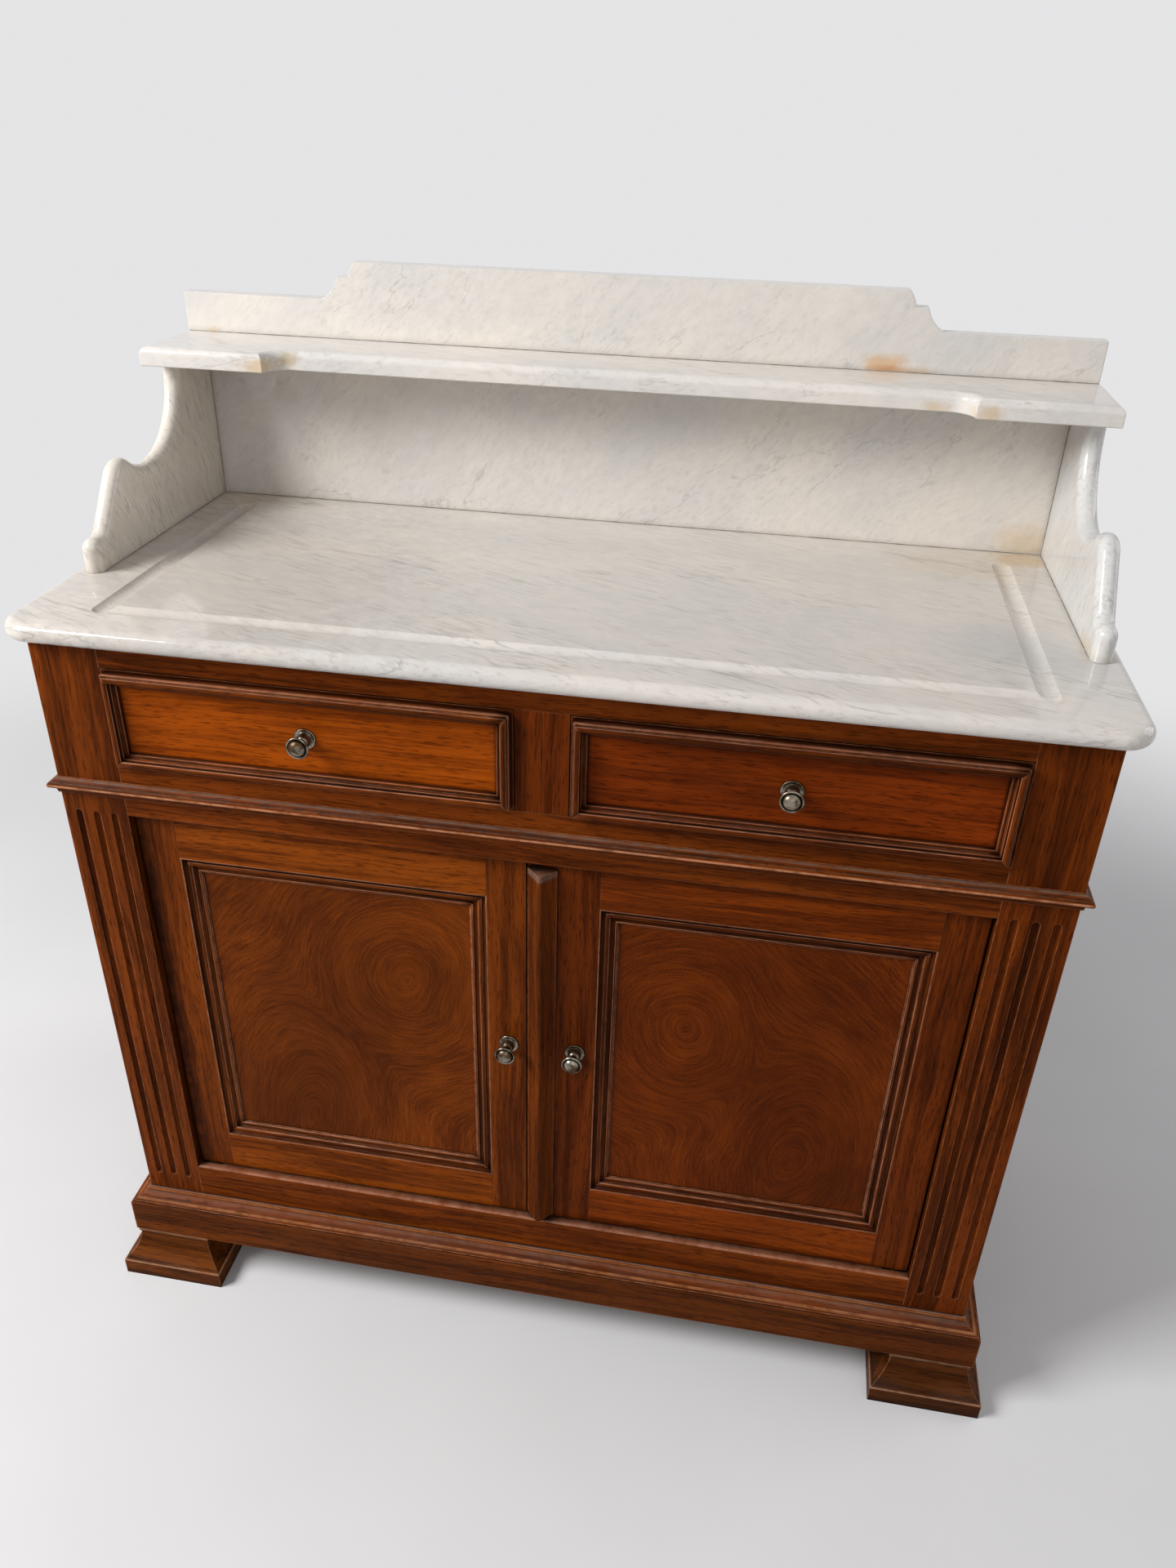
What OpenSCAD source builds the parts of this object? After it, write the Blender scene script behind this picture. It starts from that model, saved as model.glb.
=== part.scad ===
// Washstand: a wooden cabinet with two drawers over two panelled doors between
// fluted corner posts, on four moulded feet. A marble slab with a drip groove lies
// on top and carries a stepped back slab, two scrolled end brackets and a shelf.
// Millimetres. X runs across the front, +Y to the back, +Z up.
// The origin is on the floor in the middle of the footprint.

/* [Cabinet] */
// Width over the corner posts
cabinet_w = 1000; // [900:5:1150]
// Depth from the face of the posts to the back of the back boards
cabinet_d = 435; // [420:5:520]
// Height of the wooden cabinet above the floor
cabinet_h = 875; // [850:1:905]
// Width of a fluted front post
post_w = 69; // [68:1:80]
// Thickness of all four posts from front to back
post_d = 32; // [30:1:38]
// Width of a rear post
rear_post_w = 45; // [40:1:55]
// Thickness of the side rails and of the back rails
side_rail_t = 24; // [20:1:26]
// Thickness of the side panels
side_panel_t = 10; // [8:1:12]
// Set-back of the side panels from the faces of their rails
side_panel_set = 7; // [5:1:9]
// Height of the top rails at the sides and the back
upper_rail_h = 60; // [45:1:70]
// Thickness of the back boards
back_t = 10; // [8:1:14]
// Number of back boards
back_boards_n = 5; // [3:1:7]

/* [Front rails] */
// Height of the rail over the drawers
top_rail_h = 24; // [20:1:30]
// Depth of the rail over the drawers
top_rail_d = 60; // [45:1:80]
// Height of the opening for the drawers
drawer_opening_h = 107.5; // [95:0.5:120]
// Height of the rail between drawers and doors
mid_rail_h = 58.5; // [55:0.5:70]
// Height of the bottom rail, from the top of the feet
sill_h = 109; // [104:1:120]
// Rounding of the upper front edge of the bottom rail
sill_r = 3; // [1:0.5:4]
// Width of the divider between the drawers
divider_w = 52; // [44:1:64]
// Open joint line between the two halves of the divider
divider_joint = 0.4; // [0.3:0.1:0.8]
// Thickness of the tenons of the cabinet
tenon_t = 10; // [8:1:12]
// Length of the tenons of the cabinet
tenon_l = 20; // [15:1:24]
// Shoulder above and below each tenon
tenon_shoulder = 6; // [4:0.5:7]
// Clearance all round a tenon or a panel edge
wood_fit = 0.2; // [0.1:0.05:0.4]
// Depth of the panels in their grooves
groove_d = 8; // [6:1:10]

/* [Flutes] */
// Width of one flute
flute_w = 7.5; // [6:0.5:9]
// Distance between the flutes
flute_pitch = 19.25; // [16:0.25:21]
// Plain part of the post between the base moulding and the flutes
flute_low_gap = 25; // [15:1:40]
// Plain part of the post between the flutes and the belt moulding
flute_high_gap = 19; // [12:1:40]

/* [Mouldings] */
// Height of the belt moulding
belt_h = 19; // [18:0.5:22]
// Projection of the belt moulding
belt_out = 9; // [8:0.5:12]
// Distance of the belt moulding above the door opening
belt_rise = 20; // [12:1:28]
// Height of the base moulding
base_h = 14; // [12:0.5:18]
// Projection of the base moulding
base_out = 18; // [14:0.5:19]
// Height of the plinth
plinth_h = 48; // [40:1:60]
// Thickness of the plinth
plinth_t = 20; // [19:1:24]
// Rounding of the upper front edge of the plinth
plinth_r = 1.5; // [0.5:0.5:3]
// Open joint line where mouldings meet at a mitre
mitre_gap = 0.2; // [0.1:0.05:0.4]

/* [Feet] */
// Height of the feet
foot_h = 66; // [56:1:80]
// Height of the square slab of a foot
foot_slab_h = 23; // [16:1:28]
// Spread of the slab beyond the top of the foot
foot_spread = 18; // [12:1:24]
// Height of the fillet at the top of a foot
foot_fillet_h = 4; // [3:0.5:6]
// Set-back of the hollow under that fillet
foot_fillet_in = 1.5; // [1:0.5:3]
// Flat ledge on the slab outside the hollow
foot_ledge = 0.6; // [0.4:0.1:1.5]
// Width of the top of a foot
foot_top_w = 92; // [80:1:110]
// Depth of the top of a foot
foot_top_d = 95; // [80:1:120]
// Stand-out of the top of a foot from the side of the posts
foot_side_out = 17; // [10:1:20]
// Stand-out of the top of a foot from the face of the posts
foot_front_out = 20; // [19:1:26]

/* [Marble top] */
// Thickness of all the marble plates
marble_t = 20; // [18:0.5:24]
// Overhang of the top slab past the side of the posts
top_side_out = 22; // [18:1:34]
// Overhang of the top slab past the face of the posts
top_front_out = 18; // [12:1:30]
// Overhang of the top slab past the back boards
top_back_out = 7; // [0:1:15]
// Rounding of the front corners of the slab in plan
top_corner_r = 30; // [20:1:50]
// Width of the drip groove
drip_w = 20; // [14:1:24]
// Depth of the drip groove
drip_depth = 4; // [2:0.5:5]
// Distance of the middle of the groove from the ends of the slab
drip_side_in = 83; // [70:1:110]
// Distance of the middle of the groove from the front of the slab
drip_front_in = 56; // [45:1:70]
// Distance of the ends of the groove from the back of the slab
drip_back_in = 70; // [50:1:120]

/* [Marble brackets] */
// Distance of the outer face of a bracket from the end of the slab
bracket_in = 14; // [10:1:24]
// Depth of a bracket from its nose to the back slab
bracket_l = 300; // [295:1:320]
// Height of a bracket
bracket_h = 169; // [166:1:190]
// Height of the foot of a bracket
toe_h = 34; // [30:1:40]
// Rounding of the nose of the foot
toe_r = 12; // [10.5:0.5:16]
// Flat on the foot behind the nose
toe_flat = 3.6; // [2:0.2:6]
// Radius of the hollow behind the foot
hollow_r = 14; // [10:1:18]
// Length of the straight edge above the hollow, which climbs 4 in 3
slope_l = 60; // [56:0.5:62]
// Radius of the upper lobe
lobe_r = 24; // [22:0.5:26]
// Short straight edge on each side of the dip
link_l = 1; // [1:0.5:3]
// Radius of the dip behind the lobe
dip_r = 60; // [54:0.5:64]
// Radius of the sweep up to the shelf
sweep_r = 84; // [80:0.5:85]

/* [Marble shelf] */
// Distance of the ends of the shelf from the ends of the slab
shelf_end_in = 8; // [4:1:12]
// Depth of the shelf between its ends, from the face of the back slab
shelf_mid_d = 86; // [75:1:100]
// Further depth of the two ends of the shelf
shelf_ear_out = 24; // [18:1:32]
// Length of an end of the shelf, from its tip to the step
shelf_ear_l = 152; // [120:1:200]
// Rounding of the outer corners of the shelf
shelf_corner_r = 12; // [10.5:0.5:18]
// Outer rounding of the step
step_out_r = 11; // [10.5:0.5:13]
// Hollow of the step
step_in_r = 6; // [4:1:9]

/* [Marble back] */
// Distance of the ends of the back slab from the ends of the top slab
back_slab_in = 14; // [8:1:20]
// Height of the shoulders above the top slab
shoulder_h = 231; // [220:1:250]
// Height from the shoulder to the small step
step_rise = 23.5; // [18:0.5:30]
// Height from the small step to the crest
crest_rise = 16.5; // [12:0.5:22]
// Half the length between the shoulder ends
shoulder_x = 342; // [300:1:380]
// Run of the hollow between shoulder and step
step_run = 19; // [14:1:24]
// Length of the flat of the small step
step_flat = 13; // [8:1:20]
// Run of the rounding between step and crest
crest_run = 8; // [5:1:12]
// Radius of the hollow
step_hollow_r = 39; // [30:1:50]
// Radius of the rounding of the crest
crest_r = 41; // [30:1:50]

/* [Marble dowels] */
// Diameter of the iron dowels
dowel_dia = 8; // [6:0.5:10]
// Length of a dowel
dowel_l = 16; // [12:1:18]
// Clearance round a dowel
dowel_fit = 0.2; // [0.1:0.05:0.5]

/* [Drawers] */
// Gap round a drawer front
drawer_gap = 1; // [0.8:0.1:2]
// Thickness of a drawer front
drawer_front_t = 20; // [18:1:24]
// Thickness of the sides and back of a drawer
drawer_side_t = 10; // [8:1:13]
// Free depth between a drawer and the back rails
drawer_back_free = 16; // [13:1:60]
// Height of the sides of a drawer
drawer_side_h = 96; // [84:1:100]
// Drop of the back of a drawer below its sides
drawer_back_drop = 8; // [4:1:14]
// Thickness of a drawer bottom
drawer_bottom_t = 6; // [5:0.5:8]
// Height of a drawer bottom above the edges of the sides
drawer_bottom_rise = 8; // [6:1:12]
// Depth of a drawer bottom in its grooves
drawer_groove_d = 5; // [4:0.5:6]
// Running gap under the sides of a drawer
run_gap = 0.3; // [0.3:0.1:0.6]
// Wood left in front of the dovetails
dovetail_lap = 6; // [5:0.5:9]
// Number of dovetails at each corner
dovetail_n = 3; // [2:1:4]
// Height of a dovetail at its wide end
dovetail_h = 20; // [14:1:22]
// Narrowing of a dovetail on each edge
dovetail_slope = 2.5; // [1.5:0.25:3.5]
// Set-in of the moulding from the edge of a drawer front
lip_in = 3; // [2:0.5:5]
// Width of the moulding on a drawer front
lip_w = 13; // [13:0.5:16]
// Height of the outer edge of that moulding
lip_edge_h = 8; // [6:0.5:9]
// Radius of its main bead
lip_bead_r = 2.8; // [2:0.1:3.2]
// Height of the crown of its main bead
lip_h = 12; // [11:0.5:13]
// Radius of its inner bead
lip_small_r = 1.8; // [1.2:0.1:2]
// Distance of the knobs from the middle of the cabinet
drawer_knob_x = 230; // [180:5:280]

/* [Doors] */
// Set-back of the doors from the face of the posts
door_set = 9; // [7:0.5:10]
// Thickness of the doors
door_t = 22; // [20:1:22]
// Gap at the outer edge, the top and the bottom of a door
door_gap = 2; // [1.5:0.1:3]
// Gap between the two doors
meeting_gap = 2; // [1.5:0.1:3]
// Width of an outer stile
stile_w = 42; // [38:1:50]
// Distance of the panel opening from the middle of the cabinet
panel_mid = 58; // [54:1:66]
// Height of a top rail
door_top_rail_h = 50; // [44:1:60]
// Height of a bottom rail
door_low_rail_h = 53.5; // [46:0.5:64]
// Thickness of the door panels and of the tenons beside them
door_panel_t = 6; // [5:0.5:7]
// Depth of the panels below the face of the door
panel_depth = 8; // [7.5:0.5:9]
// Width of the moulding round a panel
frame_mould_w = 20; // [19:0.5:24]
// Rounding of the upright outer corner of an outer stile
stile_r = 1; // [0.5:0.5:2]

/* [Astragal] */
// Width of the astragal
astragal_w = 30; // [26:1:34]
// Projection of the ridge from the face of the door
astragal_out = 17; // [14:0.5:20]
// Rounding of the ridge
astragal_r = 4; // [2:0.5:5]
// Depth of the quirk on each side of the ridge
astragal_quirk = 0.3; // [0.2:0.05:0.6]
// Height of the flat edge of the astragal
astragal_edge = 2.5; // [1.5:0.5:4]
// Set-in of the flank behind that edge
astragal_step = 1.8; // [1:0.2:3]
// Distance of its foot from the bottom of the door
astragal_low = 5; // [2:1:12]
// Distance of its head from the top of the door
astragal_high = 8; // [2:1:12]

/* [Pivot hinges] */
// Diameter of a pivot pin
pivot_dia = 6; // [5:0.5:7]
// Distance of a pin from the outer edge of its door
pivot_edge = 14; // [13:0.5:15]
// Distance of a pin behind the face of its door
pivot_back = 7; // [6.5:0.5:7]
// Length of a pin in its bush
pivot_reach = 11; // [8:0.5:14]
// Length of the tail of a pin in its rail
pivot_tail = 8; // [6:0.5:10]
// Running gap round and over a pin
pivot_fit = 0.3; // [0.3:0.05:0.5]
// Wall of a bush
bush_wall = 1.7; // [1.5:0.1:2]
// Width of the rim of a bush
bush_rim = 2; // [1:0.5:2.5]
// Length of a pivot plate
plate_l = 28; // [24:1:30]
// Width of a pivot plate
plate_w = 14; // [12:1:16]
// Thickness of a pivot plate
plate_t = 3; // [2:0.5:4]

/* [Knobs] */
// Diameter of the head of a knob
knob_dia = 22.6; // [20:0.2:26]
// Projection of a knob from the wood
knob_out = 26; // [23:0.5:30]
// Radius of the rim of the head
knob_rim_r = 2.6; // [2:0.1:3]
// Radius of the boss of the head
knob_boss_r = 6.4; // [5:0.1:7]
// Radius of the pip on the boss
knob_pip_r = 1.5; // [1:0.1:2]
// Radius of the neck
knob_neck_r = 4; // [3.5:0.1:5]
// Diameter of the rose
rose_dia = 21.6; // [19:0.2:25]
// Thickness of the edge of the rose
rose_edge_h = 1.6; // [1:0.1:2.5]
// Radius of the dome of the rose
rose_dome_r = 7.6; // [7:0.1:9]
// Radius of the screw of a knob
knob_screw_r = 2.5; // [2:0.1:3]
// Length of the screw in the wood
knob_screw_l = 13; // [10:0.5:14]
// Clearance round the screw
knob_screw_fit = 0.2; // [0.1:0.05:0.3]
// Height of the door knobs above the floor
door_knob_z = 439.5; // [380:0.5:500]
// Distance of the door knobs from the middle of the cabinet
door_knob_x = 36.5; // [34:0.5:40]

/* [Inside] */
// Thickness of the cupboard floor
floor_t = 18; // [14:1:22]
// Height of the cupboard shelf above the cupboard floor
shelf_rise = 273; // [200:1:360]
// Thickness of the cupboard shelf
shelf_t = 18; // [14:1:22]
// Set-back of the cupboard shelf from the face of the posts
shelf_set = 60; // [45:1:120]
// Width of the battens
batten_w = 20; // [16:1:24]
// Height of the battens
batten_h = 18; // [14:1:24]
// Thickness of the drawer runners
runner_t = 20; // [16:1:24]
// Width of the bearing of a drawer on its runner
runner_bear = 20; // [14:1:26]
// Height of the drawer guides
guide_h = 20; // [14:1:24]
// Side of the glue blocks
block_s = 42; // [30:1:44]

/* [Hidden] */
fine = 96;
nose_r = marble_t/2;
half_w = cabinet_w/2;
front_y = -(cabinet_d + top_back_out - foot_front_out - foot_spread)/2;
// upright stack of the front
mid_rail_top = cabinet_h - top_rail_h - drawer_opening_h;
mid_rail_z = mid_rail_top - mid_rail_h;
sill_top = foot_h + sill_h;
belt_z = mid_rail_z + belt_rise;
base_z = foot_h + plinth_h;
post_in = half_w - post_w;
// back to front stack
back_y = cabinet_d - back_t;
rear_post_y = back_y - post_d;
rear_post_in = half_w - rear_post_w;
back_rail_y = back_y - side_rail_t;
side_in = half_w - side_rail_t;
side_panel_x = half_w - side_panel_set - side_panel_t;
side_tenon_x = half_w - side_panel_set - (side_panel_t + tenon_t)/2;
back_tenon_y = back_y - (side_rail_t + tenon_t)/2;
front_tenon_y = (post_d - tenon_t)/2;
// marble
top_z = cabinet_h + marble_t;
top_half = half_w + top_side_out;
top_back = cabinet_d + top_back_out;
back_face = top_back - marble_t;
drip_r = (drip_w*drip_w/4 + drip_depth*drip_depth)/(2*drip_depth);
drip_x = top_half - drip_side_in;
drip_y = drip_front_in - top_front_out;
drip_end = top_back - drip_back_in;
bracket_x = top_half - bracket_in - marble_t;
bracket_y = back_face - bracket_l;
shelf_z = top_z + bracket_h;
shelf_half = top_half - shelf_end_in;
dowel_half = dowel_l/2;
dowel_front_y = bracket_y + toe_r + toe_flat + slope_l;
dowel_rear_y = back_face - 2*marble_t;
// drawers
drawer_z = mid_rail_top + drawer_gap;
drawer_h = drawer_opening_h - 2*drawer_gap;
drawer_in = divider_w/2 + drawer_gap;
drawer_out = post_in - drawer_gap;
drawer_w = drawer_out - drawer_in;
drawer_side_z = mid_rail_top + run_gap;
drawer_bottom_z = drawer_side_z + drawer_bottom_rise;
drawer_bottom_y = drawer_front_t - drawer_groove_d;
drawer_l = back_rail_y - drawer_back_free;
knob_z = drawer_z + drawer_h/2;
dovetail_step = drawer_side_h/dovetail_n;
// doors
door_z = sill_top + door_gap;
door_h = mid_rail_z - sill_top - 2*door_gap;
door_out = post_in - door_gap;
astragal_half = astragal_w/2;
left_edge = astragal_half + meeting_gap;
opening_out = door_out - stile_w;
opening_w = opening_out - panel_mid;
opening_z = door_z + door_low_rail_h;
opening_h = door_h - door_low_rail_h - door_top_rail_h;
panel_y = door_set + panel_depth;
pivot_x = door_out - pivot_edge;
pivot_y = door_set + pivot_back;
bush_in_r = pivot_dia/2 + pivot_fit;
bush_r = bush_in_r + bush_wall;
bush_lip = door_gap - pivot_fit;
bush_h = pivot_reach + pivot_fit;
knob_rim_x = knob_dia/2 - knob_rim_r;
rose_h = rose_edge_h + rose_dome_r/3;
// inside
floor_z = sill_top - floor_t;
shelf_low_z = sill_top + shelf_rise - shelf_t;
runner_z = mid_rail_top - runner_t;

// ---------- helpers ----------

// y = 0 of the pieces below is the face of the posts; this moves it to its place
module placed() {
    translate([0, front_y, 0])
        children();
}

// The children and their mirror image on the other side of the cabinet
module both_sides() {
    children();
    mirror([1, 0, 0])
        children();
}

// A board given by its lowest corner and its size
module board(at, size) {
    translate(at)
        cube(size);
}

// A board and a second one mirrored in the middle of the cabinet
module board_pair(at, size) {
    both_sides()
        board(at, size);
}

// A tenon, or with grow > 0 its mortise, given by its lowest corner and its size
module tenon(at, size, grow = 0) {
    translate([at.x - grow, at.y - grow, at.z - grow])
        cube([size.x + 2*grow, size.y + 2*grow, size.z + 2*grow]);
}

// Direction in degrees as a unit vector
function dir(a) = [cos(a), sin(a)];

// ---------- marble plates with half-round edges ----------
// Each lies in XY with z from 0 to the marble thickness.

// Straight edge along X, with the plate on its left to a depth of band
module edge_run(len, band) {
    translate([0, nose_r, nose_r])
        rotate([0, 90, 0])
            cylinder(r = nose_r, h = len, $fn = fine);
    translate([0, nose_r, 0])
        cube([len, band - nose_r, marble_t]);
}

// Quarter ring with its section in (radius, height), cut off at the angle turn
module ring_piece(turn, reach) {
    difference() {
        rotate_extrude(angle = 90, $fn = fine)
            children();
        if (turn < 90)
            rotate(turn)
                translate([0, 0, -1])
                    cube([2*reach, 2*reach, marble_t + 2]);
    }
}

// Outer corner of radius r that turns left from the X direction
module edge_corner(r, turn) {
    translate([0, r, 0])
        rotate(-90)
            ring_piece(turn, r)
                intersection() {
                    square([r, marble_t]);
                    union() {
                        square([r - nose_r, marble_t]);
                        translate([r - nose_r, nose_r])
                            circle(r = nose_r, $fn = fine);
                    }
                }
}

// Hollow edge of radius r that turns right from the X direction
module edge_hollow(r, turn, band) {
    translate([0, -r, 0])
        rotate(90 - turn)
            ring_piece(turn, r + band)
                union() {
                    translate([r + nose_r, nose_r])
                        circle(r = nose_r, $fn = fine);
                    translate([r + nose_r, 0])
                        square([band - nose_r, marble_t]);
                }
}

// A path of edges, each starting where the one before it ends. A step is
// ["run", length], ["corner", radius, turn] or ["hollow", radius, turn].
module edge_path(steps, band, i = 0) {
    if (i < len(steps)) {
        size = steps[i][1];
        turn = steps[i][2];
        if (steps[i][0] == "run") {
            edge_run(size, band);
            translate([size, 0, 0])
                edge_path(steps, band, i + 1);
        }
        if (steps[i][0] == "corner") {
            edge_corner(size, turn);
            translate([0, size, 0])
                rotate(turn)
                    translate([0, -size, 0])
                        edge_path(steps, band, i + 1);
        }
        if (steps[i][0] == "hollow") {
            edge_hollow(size, turn, band);
            translate([0, -size, 0])
                rotate(-turn)
                    translate([0, size, 0])
                        edge_path(steps, band, i + 1);
        }
    }
}

// Slab with half-round edges at the front and both ends, square at the back
module top_plate() {
    inner = top_half - top_corner_r;
    run = top_back + top_front_out - top_corner_r;
    inset = top_corner_r - 1;
    translate([-top_half + inset, inset - top_front_out, 0])
        cube([2*(top_half - inset), top_back + top_front_out - inset, marble_t]);
    translate([-top_half, top_back, 0])
        rotate(-90)
            edge_path([
                ["run", run],
                ["corner", top_corner_r, 90],
                ["run", 2*inner],
                ["corner", top_corner_r, 90],
                ["run", run]
            ], top_corner_r);
}

// Round-bottomed channel to be cut along three sides of the slab
module drip_channel() {
    translate([0, 0, top_z + drip_r - drip_depth]) {
        translate([-drip_x, drip_y, 0])
            rotate([0, 90, 0])
                cylinder(r = drip_r, h = 2*drip_x, $fn = fine);
        both_sides() {
            translate([drip_x, drip_y, 0])
                rotate([-90, 0, 0])
                    cylinder(r = drip_r, h = drip_end - drip_y, $fn = fine);
            translate([drip_x, drip_y, 0])
                sphere(r = drip_r, $fn = fine);
            translate([drip_x, drip_end, 0])
                sphere(r = drip_r, $fn = fine);
        }
    }
}

// Dowels of the marble, or with grow > 0 their holes
module dowel_set(grow = 0) {
    r = dowel_dia/2 + grow;
    h = dowel_l + 2*grow;
    both_sides() {
        for (y = [dowel_front_y, dowel_rear_y])
            translate([bracket_x + nose_r, y, top_z - h/2])
                cylinder(r = r, h = h, $fn = fine);
        translate([bracket_x + nose_r, dowel_rear_y, shelf_z - h/2])
            cylinder(r = r, h = h, $fn = fine);
        translate([shoulder_x, back_face + nose_r, top_z - h/2])
            cylinder(r = r, h = h, $fn = fine);
    }
}

module marble_top() color("#dcdad6") placed()
    difference() {
        translate([0, 0, cabinet_h])
            top_plate();
        drip_channel();
        dowel_set(dowel_fit);
    }

// Centres of the scrolled edge of a bracket, in (depth, height)
slope_deg = atan2(4, 3);
toe_c = [bracket_y + toe_r, toe_h - toe_r];
hollow_c = [toe_c.x + toe_flat, toe_h + hollow_r];
slope_a = hollow_c + hollow_r*dir(slope_deg - 90);
lobe_c = slope_a + slope_l*dir(slope_deg) + lobe_r*dir(slope_deg - 90);
dip_c = lobe_c + (lobe_r + dip_r)*dir(slope_deg) + link_l*dir(slope_deg - 90);
sweep_c = [dip_c.x + link_l, dip_c.y - dip_r + sweep_r];

// A bracket lying flat, its scrolled edge drawn from the shelf down to the slab
module bracket_plate() {
    band = lobe_r + 2;
    lap = band - 1;
    core = [
        [back_face, 0],
        [back_face, bracket_h],
        [sweep_c.x + sweep_r + lap, bracket_h],
        sweep_c + (sweep_r + lap)*dir(355),
        sweep_c + (sweep_r + lap)*dir(328),
        sweep_c + (sweep_r + lap)*dir(304),
        sweep_c + (sweep_r + lap)*dir(280),
        dip_c + (dip_r + lap)*dir(250),
        lobe_c + dir(95),
        slope_a + lap*dir(slope_deg - 90) - dir(slope_deg),
        [toe_c.x + 1, toe_h - lap],
        [toe_c.x + 1, 0]
    ];
    linear_extrude(marble_t)
        polygon(core);
    translate([sweep_c.x + sweep_r, bracket_h, 0])
        rotate(-90)
            edge_path([
                ["run", bracket_h - sweep_c.y],
                ["hollow", sweep_r, 90],
                ["run", link_l],
                ["hollow", dip_r, 90 - slope_deg],
                ["run", link_l],
                ["corner", lobe_r, 90],
                ["run", slope_l],
                ["hollow", hollow_r, slope_deg],
                ["run", toe_flat],
                ["corner", toe_r, 90],
                ["run", toe_c.y]
            ], band);
}

module marble_bracket() {
    difference() {
        translate([bracket_x, 0, top_z])
            rotate([90, 0, 90])
                bracket_plate();
        dowel_set(dowel_fit);
    }
}

module marble_bracket_right() color("#dcdad6") placed()
    marble_bracket();

module marble_bracket_left() color("#dcdad6") placed()
    mirror([1, 0, 0])
        marble_bracket();

// Shelf in plan, its edge drawn from the left end round to the right end
module shelf_plate() {
    inset = nose_r + step_in_r;
    mid_y = back_face - shelf_mid_d;
    ear_y = mid_y - shelf_ear_out;
    ear_x = shelf_half - shelf_ear_l;
    step_x = ear_x - step_in_r;
    end_run = back_face - ear_y - shelf_corner_r;
    ear_run = shelf_ear_l - shelf_corner_r - step_out_r;
    step_run = shelf_ear_out - step_out_r - step_in_r;
    both_sides()
        linear_extrude(marble_t)
            polygon([
                [0, back_face],
                [0, mid_y + inset],
                [step_x - 1, mid_y + inset],
                [step_x + inset, mid_y - step_in_r + inset],
                [ear_x + inset, ear_y + inset + 1],
                [shelf_half - inset, ear_y + inset + 1],
                [shelf_half - inset, back_face]
            ]);
    translate([-shelf_half, back_face, 0])
        rotate(-90)
            edge_path([
                ["run", end_run],
                ["corner", shelf_corner_r, 90],
                ["run", ear_run],
                ["corner", step_out_r, 90],
                ["run", step_run],
                ["hollow", step_in_r, 90],
                ["run", 2*step_x],
                ["hollow", step_in_r, 90],
                ["run", step_run],
                ["corner", step_out_r, 90],
                ["run", ear_run],
                ["corner", shelf_corner_r, 90],
                ["run", end_run]
            ], 2*marble_t);
}

module marble_shelf() color("#dcdad6") placed()
    difference() {
        translate([0, 0, shelf_z])
            shelf_plate();
        dowel_set(dowel_fit);
    }

// Stepped outline of the back slab, in (across, height above the top slab)
module back_outline() {
    half = top_half - back_slab_in;
    step_x = shoulder_x - step_run;
    step_z = shoulder_h + step_rise;
    crest_x = step_x - step_flat;
    crest_z = step_z + crest_rise;
    // the hollow passes through the shoulder end and the top of the step
    hollow_mid = [(shoulder_x + step_x)/2, (shoulder_h + step_z)/2];
    hollow_half = norm([step_run, step_rise])/2;
    hollow_way = [step_rise, step_run]/norm([step_run, step_rise]);
    hollow_at = hollow_mid + hollow_way*sqrt(pow(step_hollow_r, 2) - pow(hollow_half, 2));
    // the rounding passes through the end of the step and the end of the crest
    crest_mid = [crest_x - crest_run/2, (step_z + crest_z)/2];
    crest_half = norm([crest_run, crest_rise])/2;
    crest_way = [-crest_rise, -crest_run]/norm([crest_run, crest_rise]);
    crest_at = crest_mid + crest_way*sqrt(pow(crest_r, 2) - pow(crest_half, 2));
    translate([-half, 0])
        square([2*half, shoulder_h]);
    both_sides() {
        difference() {
            translate([0, shoulder_h - 1])
                square([shoulder_x + 1, step_rise + 1]);
            translate(hollow_at)
                circle(r = step_hollow_r, $fn = fine);
        }
        intersection() {
            translate([0, step_z - 1])
                square([crest_x + 1, crest_rise + 1]);
            union() {
                square([crest_at.x, crest_z + 1]);
                translate(crest_at)
                    circle(r = crest_r, $fn = fine);
            }
        }
    }
}

module marble_back() color("#dcdad6") placed()
    difference() {
        translate([0, top_back, top_z])
            rotate([90, 0, 0])
                linear_extrude(marble_t)
                    back_outline();
        dowel_set(dowel_fit);
    }

module marble_dowels() color("#4a4540") placed()
    dowel_set();

// ---------- tenons of the cabinet, also used to cut their mortises ----------

// Tenons of a front rail from z over a height h, at the right
module front_tenon(z, h, grow = 0) {
    tenon([post_in, front_tenon_y, z + tenon_shoulder],
        [tenon_l, tenon_t, h - 2*tenon_shoulder], grow);
}

module front_tenons(grow = 0) {
    front_tenon(cabinet_h - top_rail_h, top_rail_h, grow);
    front_tenon(mid_rail_z, mid_rail_h, grow);
    front_tenon(foot_h, sill_h, grow);
}

// Heights of the side rails and of the back rails
side_rail_rows = [
    [foot_h, sill_h],
    [mid_rail_z, mid_rail_h],
    [cabinet_h - upper_rail_h, upper_rail_h]
];
back_rail_rows = [
    [foot_h, sill_h],
    [mid_rail_z, mid_rail_h - runner_t],
    [cabinet_h - upper_rail_h, upper_rail_h]
];

module side_tenons(grow = 0) {
    for (row = side_rail_rows)
        for (y = [post_d - tenon_l, rear_post_y])
            tenon([side_tenon_x, y, row[0] + tenon_shoulder],
                [tenon_t, tenon_l, row[1] - 2*tenon_shoulder], grow);
}

module back_tenons(grow = 0) {
    for (row = back_rail_rows)
        tenon([rear_post_in, back_tenon_y, row[0] + tenon_shoulder],
            [tenon_l, tenon_t, row[1] - 2*tenon_shoulder], grow);
}

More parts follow.
